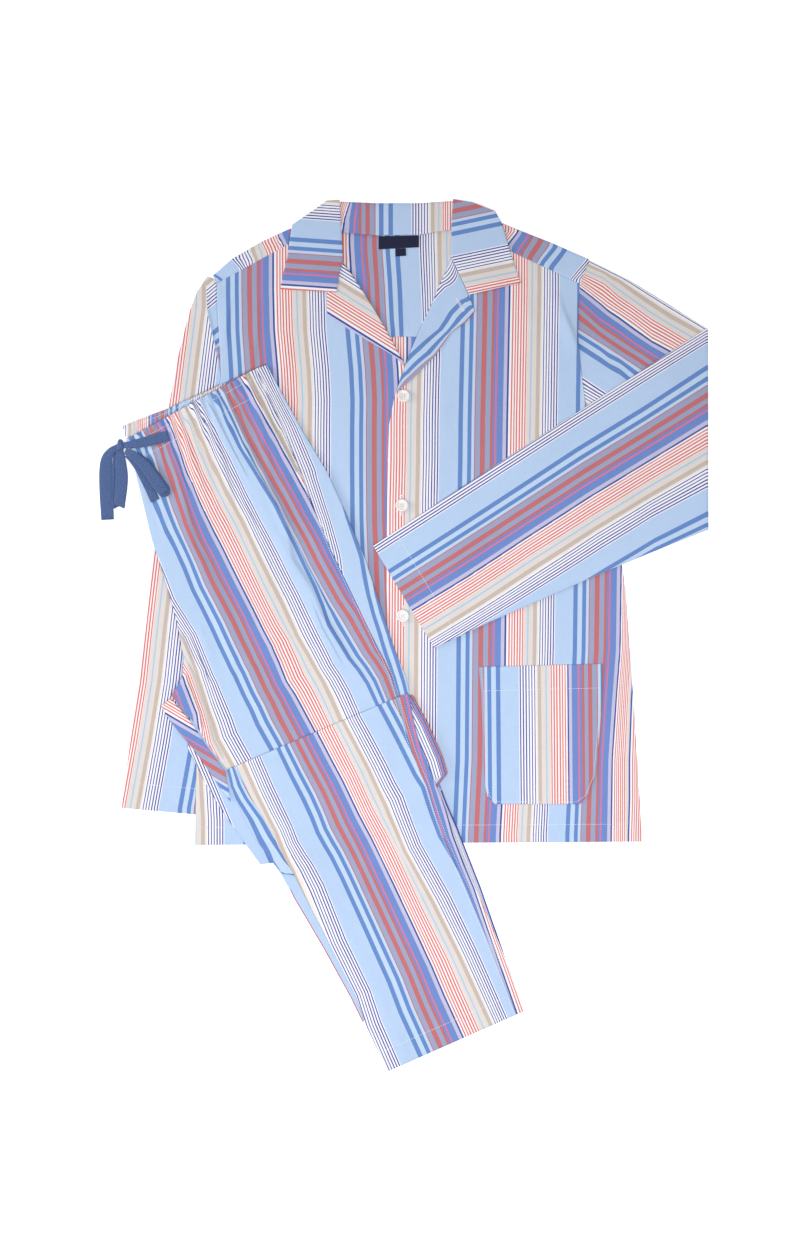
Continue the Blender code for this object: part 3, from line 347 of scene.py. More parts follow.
SLEEVE_RIGHT_GUIDES = ((29, ((-198.2, 535.8), (-204.8, 485.6), (-212.3, 425.6), (-236.5, 221),
                             (-242.9, 161), (-252.5, 101), (-264.6, 34))),)

LEAF_RIGHT_LAY = Lay(-92, 613.5, 59.7, -94, 1.02)
LEAF_LEFT_LAY = Lay(80, 602.5, 59.7, 102, 1.0)
FACING_RIGHT_LAY = Lay(-60.2, 558.5, 29, 58, 0.98)
FACING_LEFT_NUMBERS = (71.4, 80.45, 85.7)
FACING_LEFT_LINES = (
    (0, 140, 175, 195), (1, 64.5, 87, 100), (2, 53.7, 79, 98), (3, 63, 91, 100.5), (4, 20, 68, 94),
    (5, -25, 36, 72), (6, -300, -50, 50))
CAP_LAY = Lay(-186.5, 511.7, 71.4, -50, 1.0)
CAP_END = 579  # y above which the stripes of the right sleeve's cap turn
CROTCH_LAY = Lay(-235, 141, 9.1, 60, 1.08)
HIDDEN_LEFT_LAY = Lay(-213, 99, 40.3, 23, 1.05)
# The hidden layers' right edge: stripe units in from it, with the stripe that shows there, for
# the flap beside the cross fold and for the sliver below it.
FLAP_LINES = (
    (0, 102), (0.9, 102), (1.0, 118), (2.1, 118), (2.2, 110), (3.3, 110), (3.4, 93), (4.3, 93),
    (4.4, 118), (5.0, 118), (5.1, 33.6), (20, 48.5))
FLAP_TOP, FLAP_END, WAIST_SIDE_NUMBER = 206, 74, 62  # y of the flap, and the stripe above it
SLIVER_LINES = ((0, 118), (0.9, 118), (1.0, 115), (2.4, 115), (2.5, 20), (9, 27))

UPPER_NUMBERS = (
    -2, 16.2, 29, 34.6, 48.8, 71.4, 80.45, 93.5, 102.35, 118, 122, 136.2, 149, 154.6, 168.8, 191.4,
    205.7, 213.5, 222.35, 238, 269, 274.6)
UPPER_LINES = (
    (0, -40, -34, -28, -25, -17, 5, 9.5, 18.5, 22.8, 30.8, 32.2, 39, 45.8, 48.7, 54.3, 66, 72.8,
     76.5, 80.3, 88, 94.3, 96.6),
    (2, -36, -28, -20, -17, -9, 6.5, 13, 22, 26.5, 33, 34.3, 42.3, 49.5, 53.5, 61, 70, 75.5, 78,
     83, 92.8, 96, 98),
    (3, -26.7, -18.7, -12.7, -10.3, -3.3, 10.2, 16, 23.1, 27.4, 36.3, 37.9, 46.3, 53.8, 57.5,
     64.3, 75.9, 79.5, 82.5, 87.3, 96.7, 99.2, 100.6),
    (3.5, -22, -14, -9, -7, -0.5, 12, 17.5, 23.7, 27.8, 38, 39.7, 48.3, 56, 59.5, 66, 78.8, 81.5,
     84.8, 89.5, 98.7, 118, 121),
    (4.5, -18, -12, -8, -5.5, 1.7, 14.3, 19.5, 27, 31.8, 41.5, 43.2, 51.2, 58.5, 62.2, 69.8, 81.2,
     84.5, 88.5, 93.3, 102, 121, 124),
    (5.5, -12, -5, 1.7, 3.2, 9.5, 19, 24.5, 31.8, 36.5, 45.2, 46.7, 54, 61.5, 65, 72.3, 82.7,
     86.5, 90.5, 95, 103, 122, 125),
    (7, 0.5, 4.5, 8, 10.3, 15.3, 25, 30, 37, 41, 50, 51.3, 59, 64, 67.3, 74.5, 81.8, 89.5, 93.5,
     98, 105, 124, 127),
    (8, 8.6, 12.1, 15, 17.1, 22.6, 31.8, 36.2, 42.7, 46.4, 54, 55.3, 62.4, 68, 70.6, 77, 84.4,
     91.2, 94.8, 98.3, 105, 124, 127),
    (9, 4, 7.5, 10, 12.2, 19, 29, 33.5, 40.3, 44.2, 51.5, 53, 60.5, 67.5, 69.8, 76.3, 84.8, 91.7,
     95.3, 98.5, 106, 125, 128),
    (12, -8, -1.2, 3.4, 6.8, 14.3, 26.3, 31.5, 38.4, 43.1, 51.9, 53.3, 60.5, 66.8, 70.7, 77.7,
     88.6, 94.6, 97.9, 101, 108, 127, 130))
LOWER_NUMBERS = (
    29, 34.6, 48.8, 71.4, 80.45, 93.5, 102.35, 118, 122, 136.2, 149, 154.6, 168.8, 191.4)
LOWER_LINES = (
    (1, 5, 8, 15.3, 26.8, 31.5, 38.3, 42.5, 51, 52.5, 60.5, 67, 70, 77.2, 89.8),
    (3, 2.7, 5.5, 13.3, 26.8, 32.3, 40, 44.5, 53.6, 55.4, 63.2, 71, 73.7, 82.2, 95),
    (5, 1.5, 5, 12.2, 25.8, 31.2, 39.5, 44.5, 54, 55.7, 63.4, 71.4, 75, 83.8, 97.5),
    (8, -2, 4.8, 14.4, 27.3, 33, 41.3, 46.2, 56.6, 58.2, 66.9, 72.5, 75.9, 84.2, 98),
    (9, -3.5, 1.3, 10.8, 26.2, 32, 40.7, 45.8, 56.6, 58.5, 67, 75.5, 79, 88, 103),
    (10, -4, 1, 10.5, 25, 31.5, 40.5, 45.8, 57, 59, 69, 77.5, 81.2, 90, 106),
    (12, -5.5, -0.6, 9.5, 25.7, 32.2, 41.5, 47.5, 59, 61, 71, 80.5, 84, 92.5, 109))
FOREARM_NUMBERS = (
    48.8, 71.4, 80.45, 93.5, 102.35, 118, 122, 136.2, 149, 154.6, 168.8, 191.4, 200.45)
FOREARM_LINES = (
    (0, 6.8, 19.3, 25, 33.3, 38, 48.3, 50, 58.5, 66.3, 69.8, 78.5, 92, 97.5),
    (1, 6.3, 20.8, 26.3, 34.7, 39.7, 50.3, 51.8, 60.2, 68.8, 72.2, 80.5, 94.3, 99),
    (2, 6.2, 20.8, 26.8, 35.8, 41.2, 52.2, 54, 63.3, 72, 75.8, 85, 99, 104),
    (3, 6.5, 22.7, 29, 38.3, 44.3, 56, 58, 67.5, 77, 81.7, 91, 105, 110),
    (4, 6.6, 24.5, 31, 41.7, 47.8, 61, 63, 73.5, 84, 88.5, 97.5, 112, 118),
    (5, 6.3, 25.3, 32.3, 43.5, 50.2, 63.5, 65.7, 77.3, 88.7, 93, 103, 118, 125))
UPPER_SLEEVE_NUMBERS = (
    34.6, 29, 16.2, 2, -2, -9.35, -13.45, -17.65, -26.5, -34.3, -39.55, -48.6, -71.2, -85.4)
UPPER_SLEEVE_LINES = (
    (0, 1, 3.5, 10.1, 17.5, 19.5, 25.2, 27.9, 31.6, 37.7, 45.5, 49.3, 53.4, 64.4, 73),
    (0.39, 0.9, 2.6, 9.1, 20, 21.8, 28, 31.3, 34.8, 39.8, 44.5, 48.3, 53.3, 66, 74.5),
    (0.54, 1, 3.3, 10.1, 20.9, 23.3, 28.5, 31.1, 34.8, 40.2, 44.1, 48.8, 53.3, 67, 75.5),
    (0.74, 0.8, 3.2, 12, 21.1, 23.6, 28.8, 31, 34.8, 40.2, 43.9, 47.1, 52.6, 68, 76),
    (1, 1.2, 4.8, 12.7, 21.8, 24.7, 29.5, 32, 34.9, 39.5, 43.5, 47.8, 54.2, 69, 77),
    (1.5, 1.4, 5.5, 13.5, 22.9, 25, 29.2, 31.5, 34.4, 39, 43.2, 47.4, 53.5, 67, 75),
    (2, 1.4, 5.8, 12.9, 21.5, 23.6, 28, 30.3, 33.3, 37.5, 42, 46, 51.5, 65, 73),
    (3, 0.9, 4, 12, 20, 22, 27, 29.5, 33, 37, 41.5, 45.5, 51, 65, 73))
# The back panel turned over beside the lower leg: y of its inner edge, and the stripe numbers
# on its inner and its outer edge.
BACK_LOWER_LINES = (
    (181.5, 98, 108.8), (178.9, 98.2, 108.8), (148.2, 100, 108), (115.2, 100.8, 108.8),
    (89.2, 101.2, 111.6), (72.2, 103.2, 116), (56.7, 104, 117.6), (38.2, 104.2, 118.4),
    (11.2, 105.8, 118.8), (-23.8, 107.7, 119), (-56.8, 108.6, 120.3), (-125.1, 113.6, 126.4),
    (-160.8, 115.4, 127.2), (-213.8, 117.2, 126.4))
BACK_UPPER_LINES = (
    (592, 38, 50), (556, 34, 54), (522, 33.5, 53.5), (504, 34, 55.5), (466, 34, 60),
    (455, 33.5, 64), (436, 34, 66.9), (406, 34.6, 72), (359, 42.4, 74.5), (334, 50, 77.5),
    (309, 53.8, 80.8), (286, 58, 82), (261, 61.7, 81.5), (236, 67.2, 82), (213, 69.4, 84),
    (182, 70, 84))
INSEAM_LINE = 1.3  # width of the one stripe that shows along the inseam near the hem, in mm
INSEAM_LOWER_LINES = (
    (92, 70, 84), (71, 71, 86), (56, 69.6, 86), (31, 66.5, 83.5), (9, 68, 83.3), (-8, 70.4, 80.5),
    (-21, 72.8, 79.5), (-37, 74, 77.6), (-41, 58, 66), (-222, 58, 66))

# Soft creases: the route of each, its height, and how wide it is on its left and on its right.
BODY_CREASES = (
    (((189, 706), (205, 660), (220, 607)), 1.1, 9, 14),
    (((-196, 655), (-170, 560), (-172, 470)), 0.8, 16, 10),
    (((-60, 560), (-72, 430), (-58, 300)), 0.7, 20, 12),
    (((-190, 420), (-160, 300), (-168, 190)), 0.8, 12, 20),
    (((60, 600), (52, 520), (70, 470)), 0.8, 14, 9),
    (((-248, 700), (-236, 640), (-238, 570)), 0.8, 6, 9),
    (((70, 250), (62, 160), (72, 60)), 0.7, 13, 18),
    (((258, 230), (262, 140), (255, 40)), 0.6, 12, 8),
    (((20, 230), (30, 120), (20, 20)), 0.5, 15, 12),
    (((-200, 700), (-216, 672), (-222, 610)), 1.4, 2.5, 9),
    (((-178, 700), (-180, 640), (-192, 560)), 1.0, 3, 9),
    (((-150, 660), (-146, 600), (-160, 540)), 0.9, 9, 3),
    (((-20, 230), (-60, 150), (-50, 40)), 0.6, 18, 12),
    (((150, 690), (165, 640), (150, 600)), 0.7, 10, 8),
    (((184, 718), (194, 691), (200, 668), (208.5, 647), (219, 620), (227, 600)), 1.9, 2.2, 11))
SLEEVE_CREASES = (
    (((-244, 700), (-243, 666), (-237, 635), (-230.6, 610), (-226, 575)), 1.2, 2, 10),
    (((-262, 620), (-285, 480), (-296, 340)), 0.5, 9, 12),
    (((-246, 560), (-262, 420), (-268, 260)), 0.45, 10, 7),
    (((-315, 230), (-322, 150), (-332, 80)), 0.5, 7, 9),
    (((300, 660), (330, 600), (352, 520)), 0.5, 9, 12),
    (((260, 560), (180, 490), (90, 420)), 0.8, 10, 14),
    (((330, 520), (250, 450), (150, 380)), 0.6, 12, 9),
    (((300, 430), (240, 395), (170, 345)), 0.5, 8, 11),
    (((120, 400), (70, 360), (20, 330)), 0.5, 9, 8))
UPPER_LEG_CREASES = (
    (((-212, 541), (-184, 466), (-146, 404), (-137, 354), (-112, 316), (-100, 285), (-65, 229),
      (-21, 179)), 3.4, 2.8, 13),
    (((-296, 491), (-274, 429), (-259, 372), (-234, 329), (-177, 204), (-127, 141)), 1.9, 3.6, 13),
    (((-318, 470), (-300, 425), (-292, 380)), 1.4, 4, 8),
    (((-275, 520), (-262, 480), (-240, 425)), 1.5, 4, 8),
    (((-240, 530), (-225, 480), (-205, 400)), 1.7, 3.2, 9),
    (((-190, 560), (-172, 510), (-160, 440)), 1.2, 3, 8),
    (((-215, 330), (-180, 260), (-130, 190)), 0.8, 10, 7),
    (((-110, 400), (-92, 350), (-70, 300)), 0.6, 8, 6),
    (((-262, 290), (-240, 240), (-215, 190)), 0.7, 8, 12),
    (((-100, 250), (-75, 220), (-45, 195)), 0.6, 7, 9))
LOWER_LEG_CREASES = (
    (((-105, -85), (-90, -108), (-62, -138)), 1.3, 4, 9),
    (((-45, 66), (-18, 30), (12, -12), (30, -50)), 1.3, 5, 12),
    (((-140, 30), (-105, -20), (-70, -80)), 0.8, 11, 8),
    (((-60, 60), (-30, 0), (0, -60)), 0.8, 9, 13),
    (((-110, 90), (-85, 60), (-65, 20)), 0.7, 8, 10),
    (((0, 20), (25, -40), (55, -100)), 0.6, 9, 7),
    (((-20, -120), (10, -170), (35, -220)), 0.7, 12, 8),
    (((60, -120), (85, -170), (105, -215)), 0.5, 7, 9))

# ------------------------------------------------------------------ surfaces


def to_metres(x, y, z):
    """Plan millimetres to metres about the origin."""
    return np.stack([x - PLAN_CENTRE[0], y - PLAN_CENTRE[1], z], axis=-1) / 1000


def ease(t):
    t = np.clip(t, 0, 1)
    return t * t * (3 - 2 * t)


def edges(table):
    """The points of a table's left edge, and those of its right edge."""
    rows = np.array(table, float)
    return rows[:, :2], rows[:, 2:]


def between(start, end, shares):
    """Points on the straight lines from start to end, row by row, at shares of the way."""
    return start[:, None] + (end - start)[:, None] * shares[..., None]


def unit_of(vectors):
    """Vectors with their length made 1."""
    return vectors / np.maximum(np.linalg.norm(vectors, axis=-1, keepdims=True), 1e-12)


def x_on(route, y):
    """x at given y on a route whose points go from high y to low y."""
    return np.interp(-y, [-point[1] for point in route], [point[0] for point in route])


def outline(table):
    """The closed outline of a table of sections: down one edge and up the other."""
    left, right = edges(table)
    return np.concatenate([left, right[::-1]])


def along(values, places):
    """Rows of a table read at fractional row numbers, straight between rows."""
    rows = np.arange(len(values))
    return np.stack([np.interp(places, rows, column) for column in values.T], axis=-1)


def along_columns(grid, places):
    """Each column of a grid of points, read at fractional row numbers."""
    return np.stack([along(grid[:, i], places) for i in range(grid.shape[1])], axis=1)


def row_places(left, right, step):
    """Fractional row numbers: each table row, with more between where they are over step apart."""
    spans = np.maximum(np.linalg.norm(np.diff(left, axis=0), axis=1),
                       np.linalg.norm(np.diff(right, axis=0), axis=1))
    counts = np.maximum(1, np.ceil(spans / step)).astype(int)
    return np.append(np.concatenate([i + np.arange(n) / n for i, n in enumerate(counts)]),
                     len(counts))


def distance_outside(x, y, polygon):
    """Distance from each point to a closed outline, 0 inside it."""
    start, end = polygon, np.roll(polygon, -1, axis=0)
    px, py = x[..., None], y[..., None]
    run = end - start
    share = ((px - start[:, 0]) * run[:, 0] + (py - start[:, 1]) * run[:, 1]) / (run**2).sum(axis=1)
    share = np.clip(share, 0, 1)
    gap = np.hypot(px - start[:, 0] - share * run[:, 0], py - start[:, 1] - share * run[:, 1])
    rises = np.where(run[:, 1] == 0, 1e-9, run[:, 1])
    crossing = (start[:, 1] > py) != (end[:, 1] > py)
    reach = start[:, 0] + (py - start[:, 1]) / rises * run[:, 0]
    inside = (crossing & (px < reach)).sum(axis=-1) % 2 == 1
    return np.where(inside, 0, gap.min(axis=-1))


def cover(x, y, polygon, margin, reach):
    """How far a layer holds up what lies over it: 1 on it and for margin round it, easing to 0
    at reach from it."""
    return 1 - ease((distance_outside(x, y, polygon) - margin) / (reach - margin))


# ------------------------------------------------------------------ heights of the layers (mm)


def over_sleeve(x, y, margin=24, reach=90):
    """Share of the lift that the tucked right sleeve gives the body."""
    return cover(x, y, outline(SLEEVE_RIGHT[SLEEVE_TUCK_ROW:]), margin, reach)


def over_placket(x, y, margin=16, reach=50):
    """Share of the lift that the right front gives what laps over it at the buttons."""
    return cover(x, y, outline(OVERLAP), margin, reach)


def left_front_level(x, y):
    return FRONT_LEVEL + OVERLAP_LIFT * over_placket(x, y)


def trouser_support(x, y):
    """Height of what carries the trousers: the sleeve, the body on it, or the floor."""
    spread = 22, 105  # the thick trousers bridge further over an edge than the jacket does
    sleeve = ((FLAT_SLEEVE + LAY_GAP)
              * cover(x, y, outline(SLEEVE_RIGHT[SLEEVE_TUCK_ROW - 1:]), *spread))
    body = cover(x, y, outline(JACKET_BACK[1:]), *spread)
    tucked = SLEEVE_LIFT * over_sleeve(x, y, *spread)
    lapped = OVERLAP_LIFT * over_placket(x, y, *spread)
    return np.maximum(sleeve, body * (LAPEL_LEVEL + tucked + lapped))


def pleat_core():
    """Outline of the part of the cross fold that has its full height."""
    left, right = edges(LEG_HIDDEN[PLEAT_ROWS])
    return np.concatenate([left + unit_of(right - left) * PLEAT_INSET, right[::-1]])


def pleat_lift(x, y):
    """What the cross fold adds under the lower stretch of the leg, and round it."""
    return (PLEAT_LAYERS - LEG_LAYERS) * cover(x, y, pleat_core(), 5, 48)


def gathers(down, share, height):
    """Waves across the drawn waist, dying away down the leg."""
    wave = 0.5 - 0.5 * np.cos(2 * math.pi * GATHER_COUNT * share + 0.8 * np.sin(9 * share))
    return height * wave * np.exp(-down / GATHER_REACH)


def half_turn(x, y, low, high, outward_x, outward_y, steps=5):
    """Rows round a fold: a half circle from level low to level high, bulging outwards."""
    angles = np.linspace(-math.pi / 2, math.pi / 2, steps + 2)[1:-1, None]
    radius = (high - low) / 2
    bulge = radius * np.cos(angles)
    level = (high + low) / 2 + radius * np.sin(angles)
    return x[None] + outward_x * bulge, y[None] + outward_y * bulge, level + 0 * x[None]


def smooth_route(points, count):
    """count points on a Catmull-Rom curve through a route's own points."""
    route = np.array(points, float)
    padded = np.concatenate([2 * route[:1] - route[1:2], route, 2 * route[-1:] - route[-2:-1]])
    places = np.linspace(0, len(route) - 1, count)
    cell = np.minimum(places.astype(int), len(route) - 2)
    t = (places - cell)[:, None]
    p0, p1, p2, p3 = (padded[cell + i] for i in range(4))
    return 0.5 * (2 * p1 + (p2 - p0) * t + (2 * p0 - 5 * p1 + 4 * p2 - p3) * t**2
                  + (3 * p1 - p0 - 3 * p2 + p3) * t**3)


def fine_shares(width, step):
    """Shares across a panel: even steps, with one narrow step inside each edge."""
    count = max(2, int(math.ceil(width / step)))
    inner = np.linspace(EDGE / width, 1 - EDGE / width, count)
    return np.concatenate([[0], inner, [1]])


def hold_columns(shares, tracks, narrow):
    """Columns of a grid, row by row, moved so that two of them run just on either side of each
    track. Between tracks the columns share out the room evenly."""
    last = len(shares) - 1
    order = np.arange(len(shares))
    spots = np.round(np.interp(tracks.mean(axis=0), shares, order))
    apart = 3 * np.arange(len(spots))  # three columns from each track to the next
    spots = np.clip(spots, 3 + apart, last - 1 - 3 * len(spots) + apart)
    spots = np.maximum.accumulate(spots - apart) + apart
    at = np.concatenate([[0, 1], np.stack([spots, spots + 1], -1).ravel(), [last - 1, last]])
    room = shares[1] * (2 + np.arange(tracks.shape[1]))
    tracks = np.clip(tracks, room, 1 - room[::-1])
    tracks = np.maximum.accumulate(tracks - room, axis=1) + room
    return np.stack([np.interp(order, at, np.concatenate([
        [0, shares[1]], np.stack([track - narrow, track + narrow], -1).ravel(), [shares[-2], 1]]))
        for track in tracks])


def fine_grid(table, across=3.0, down=GRID, held=None):
    """A panel's fine grid: x, y, the place of each row in its table, and the share across. Rows and
    columns are even steps with a narrow step inside each edge. held gives the shares of what
    columns must follow, from row places and widths."""
    left, right = edges(table)
    width = np.linalg.norm(right - left, axis=1).max()
    shares = fine_shares(width, across)
    places = row_places(left, right, down)
    spans = max(np.linalg.norm(left[1] - left[0]), np.linalg.norm(right[1] - right[0]), 1e-6)
    ends = max(np.linalg.norm(left[-1] - left[-2]), np.linalg.norm(right[-1] - right[-2]), 1e-6)
    places = np.unique(np.concatenate([places, [min(0.5, EDGE / spans)],
                                       [places[-1] - min(0.5, EDGE / ends)]]))
    left, right = along(left, places), along(right, places)
    share = np.broadcast_to(shares[None], (len(places), len(shares)))
    if held is not None:
        tracks = held(places, np.linalg.norm(right - left, axis=1))
        share = hold_columns(shares, tracks, 0.15 / width)
    grid = between(left, right, share)
    return grid[..., 0], grid[..., 1], places[:, None], share


def run_along(x, y):
    """Distance along each column of a grid, in millimetres."""
    steps = np.hypot(np.diff(x, axis=0), np.diff(y, axis=0))
    return np.concatenate([0 * x[:1], np.cumsum(steps, axis=0)])


def run_across(x, y):
    """Distance along each row of a grid, in millimetres."""
    return run_along(x.T, y.T).T


def widths(x, y):
    """How wide a grid is at each of its rows."""
    return np.hypot(x[:, -1] - x[:, 0], y[:, -1] - y[:, 0])


def distance_down(x, y):
    """How far each point of a grid is from the start of its own column."""
    return np.hypot(x - x[0], y - y[0])


def route_track(table, route):
    """For a fine grid: the share across its table at which a route runs down the panel."""
    left, right = edges(table)

    def tracks(places, lengths):
        start, end = along(left, places), along(right, places)
        x = x_on(route, (start[:, 1] + end[:, 1]) / 2)
        return ((x - start[:, 0]) / (end[:, 0] - start[:, 0]))[:, None]
    return tracks


# ------------------------------------------------------------------ where the stripes lie


def stripes_by_guides(x, y, guides, rate):
    """Stripe places from guides. A guide is a stripe's number with the route it takes, from high
    y to low y, in stripe units. Between guides the number runs evenly, and beyond the outer two
    it grows by rate for each unit of x."""
    across, up = x / UNIT, y / UNIT
    tracks = [x_on(route, up) for _, route in guides]
    numbers = [number for number, _ in guides]
    chart = numbers[0] + rate * (across - tracks[0])
    for i in range(len(guides) - 1):
        slope = (numbers[i + 1] - numbers[i]) / (tracks[i + 1] - tracks[i])
        inner = numbers[i] + slope * (across - tracks[i])
        chart = np.where(across >= tracks[i], inner, chart)
    return np.where(across >= tracks[-1], numbers[-1] + rate * (across - tracks[-1]), chart)


def stripes_by_heading(x, y, lay):
    """Straight stripes: the number at one point, growing along a heading."""
    turn = math.radians(lay.heading)
    return lay.number + lay.rate * ((x / UNIT - lay.x) * math.cos(turn)
                                    + (y / UNIT - lay.y) * math.sin(turn))


def read_lines(place, length, numbers, lines):
    """One row of a share table: where its lines run, how wide each interval is in stripe units,
    the step of the numbers there and how fast they run. Where the lines lie much closer than
    their cloth is wide, the rest is lost in a crease half way between them."""
    at, *columns = zip(*lines)
    knots = np.array([np.interp(place, at, column) for column in columns]) / 100
    span = np.maximum(np.diff(knots) * length / UNIT, 1e-6)
    step = np.diff(np.asarray(numbers, float))
    return knots, span, step, np.sign(step) * np.minimum(np.abs(step) / span, CLOSEST)


def stripes_by_shares(row, share, length, numbers, lines):
    """Stripe places from a table: for some rows of a panel, the share across it at which each of
    the numbered stripes runs."""
    numbers = np.asarray(numbers, float)
    chart = np.empty(share.shape)
    for i, place in enumerate(row[:, 0]):
        knots, span, step, rate = read_lines(place, length[i], numbers, lines)
        middle = (knots[:-1] + knots[1:]) / 2
        spots = np.stack([knots[:-1], middle, middle + 1e-5], -1).ravel()
        values = np.stack([numbers[:-1], numbers[:-1] + rate * span / 2,
                           numbers[1:] - rate * span / 2], -1).ravel()
        chart[i] = np.interp(share[i], np.append(spots, knots[-1]), np.append(values, numbers[-1]))
        past = np.minimum(share[i] - knots[0], 0) + np.maximum(share[i] - knots[-1], 0)
        chart[i] += past * length[i] / UNIT * np.sign(step[0])
    return chart


def stripes_by_height(y, share, lines):
    """Stripe places between two edges: a table gives, for some y, the number at each edge."""
    heights, first, last = np.array(lines, float)[::-1].T
    start, end = np.interp(y, heights, first), np.interp(y, heights, last)
    return start + (end - start) * share


def tucks(share, length, row, numbers, lines, height):
    """Height of the cloth beside each crease in which cloth is lost: it swells towards the
    crease on the lower-numbered side and drops straight down on the other."""
    rise = np.zeros(share.shape)
    for i, place in enumerate(row[:, 0]):
        knots, span, step, rate = read_lines(place, length[i], numbers, lines)
        lost = np.abs(step - rate * span)
        for k in np.flatnonzero((lost > 0.5) & (knots[:-1] > 0) & (knots[1:] < 1)):
            gap = ((knots[k] + knots[k + 1]) / 2 - share[i]) * length[i]
            rise[i] += np.where(gap > 0, height * ease(lost[k] / 5) * np.exp(-((gap / 9) ** 2)), 0)
    return rise


def creases_between(numbers, lines):
    """For a fine grid: the tracks of those creases in which over two units of cloth are lost."""
    def tracks(places, lengths):
        read = [read_lines(place, length, numbers, lines) for place, length in zip(places, lengths)]
        middle = np.array([(knots[:-1] + knots[1:]) / 2 for knots, _, _, _ in read])
        lost = np.array([np.abs(step - rate * span) for _, span, step, rate in read])
        return middle[:, ((lost > 2) & (middle > 0.02) & (middle < 0.98)).any(axis=0)]
    return tracks


# ------------------------------------------------------------------ soft relief of the cloth


def ridge(x, y, route, height, left, right):
    """A soft ridge along a route: across it a bell, wider on one side than on the other, and
    along it rising from nothing and dying away again."""
    route = np.array(route, float)
    start, run = route[:-1], np.diff(route, axis=0)
    size = np.hypot(run[:, 0], run[:, 1])
    passed = np.append(0, np.cumsum(size))
    px, py = x[..., None] - start[:, 0], y[..., None] - start[:, 1]
    share = np.clip((px * run[:, 0] + py * run[:, 1]) / size**2, 0, 1)
    gap = np.hypot(px - share * run[:, 0], py - share * run[:, 1])
    near = gap.argmin(axis=-1)[..., None]
    side, gap, place = (np.take_along_axis(values, near, -1)[..., 0] for values in (
        px * run[:, 1] - py * run[:, 0], gap, passed[:-1] + share * size))
    place /= passed[-1]
    fade = ease(place / 0.3) * ease((1 - place) / 0.3)
    return height * fade * np.exp(-((gap / np.where(side > 0, right, left)) ** 2))


def creased(x, y, creases):
    return sum((ridge(x, y, *crease) for crease in creases), 0 * x)


def undulation(x, y, height):
    """Broad low waves, from three uneven sines that cross each other, never below nothing."""
    wave = (np.sin(x / 31 + 0.6 * np.sin(y / 47)) * np.sin(y / 58 + 0.8)
            + 0.6 * np.sin(x / 19 - y / 37 + 1.9) + 0.5 * np.sin(x / 53 + y / 29 + 0.7))
    return height * (0.5 + 0.24 * wave)


def sleeve_relief(x, y):
    """What a sleeve rises and falls by where it lies free."""
    return creased(x, y, SLEEVE_CREASES) + undulation(x, y, 0.4)


def body_relief(x, y):
    """What the jacket's body rises and falls by, shared by all that lies on it. It dies away
    towards the collar."""
    calm = ease((CALM_ABOVE - y) / 60)
    return np.maximum(0, (undulation(x, y, 0.7) + creased(x, y, BODY_CREASES)) * calm)


def on_body(x, y):
    return body_relief(x, y) * cover(x, y, outline(JACKET_BACK[1:]), 0, 40)


# ------------------------------------------------------------------ meshes

PANELS = {}  # top surface of each panel that was made, in metres


def grid_faces(rows, columns, kept=None):
    """Quads of a grid, all of them or those that kept marks."""
    corner = (np.arange(rows - 1)[:, None] * columns + np.arange(columns - 1)[None]).ravel()
    quads = np.stack([corner, corner + 1, corner + columns + 1, corner + columns], axis=-1)
    return quads if kept is None else quads[kept.ravel()]


def normals_of(points):
    """Unit normals of a grid: the cross product of its two running directions."""
    return unit_of(np.cross(np.gradient(points, axis=1), np.gradient(points, axis=0)))


def ring_quads(grid):
    """Quads between rings of point numbers, each ring closed on itself."""
    ahead = np.roll(grid, -1, axis=-1)
    return np.stack([grid[..., :-1, :], ahead[..., :-1, :], ahead[..., 1:, :], grid[..., 1:, :]],
                    -1).reshape(-1, 4)


def facing_out(faces, points, skin):
    """Faces turned round where the volume inside their skin of quads comes out below nothing."""
    a, b, c, d = (points[skin[:, i]] - points.mean(axis=0) for i in range(4))
    volume = ((a + b + c + d) * np.cross(c - a, d - b)).sum()
    return [face[::-1] for face in faces] if volume < 0 else faces


def stripe_map(chart, run):
    """Coordinates of the Stripes map: repeats across the stripes, and as much again along them."""
    return np.stack([chart.ravel() / REPEAT, run.ravel() / (REPEAT * UNIT)], -1)


def new_object(name, points, faces, material, coordinates=None):
    """A smooth mesh object from points and faces, with its material and its Stripes map."""
    mesh = bpy.data.meshes.new(name)
    mesh.from_pydata(points.tolist(), [], faces)
    mesh.polygons.foreach_set("use_smooth", np.ones(len(mesh.polygons), bool))
    if coordinates is not None:
        corners = np.empty(len(mesh.loops), np.int32)
        mesh.loops.foreach_get("vertex_index", corners)
        layer = mesh.uv_layers.new(name="Stripes")
        layer.data.foreach_set("uv", coordinates[corners].astype(np.float32).ravel())
    mesh.materials.append(material)
    mesh.update()
    obj = bpy.data.objects.new(name, mesh)
    bpy.context.scene.collection.objects.link(obj)
    return obj


def new_piece(name, points, faces, coordinates, material):
    """An object of the set: it rides on the root."""
    piece = new_object(name, points, faces, material, coordinates)
    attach(piece, "root")
    return piece


def ringed(name, points, coordinates, material):
    """A closed piece from rings of points: walls from ring to ring, the ends filled in."""
    grid = np.arange(points[..., 0].size).reshape(points.shape[:-1])
    skin, flat = ring_quads(grid), points.reshape(-1, 3)
    ends = np.stack([grid[..., 0, ::-1], grid[..., -1, :]]).reshape(-1, grid.shape[-1])
    faces = facing_out(skin.tolist() + ends.tolist(), flat, skin)
    return new_piece(name, flat, faces, coordinates, material)


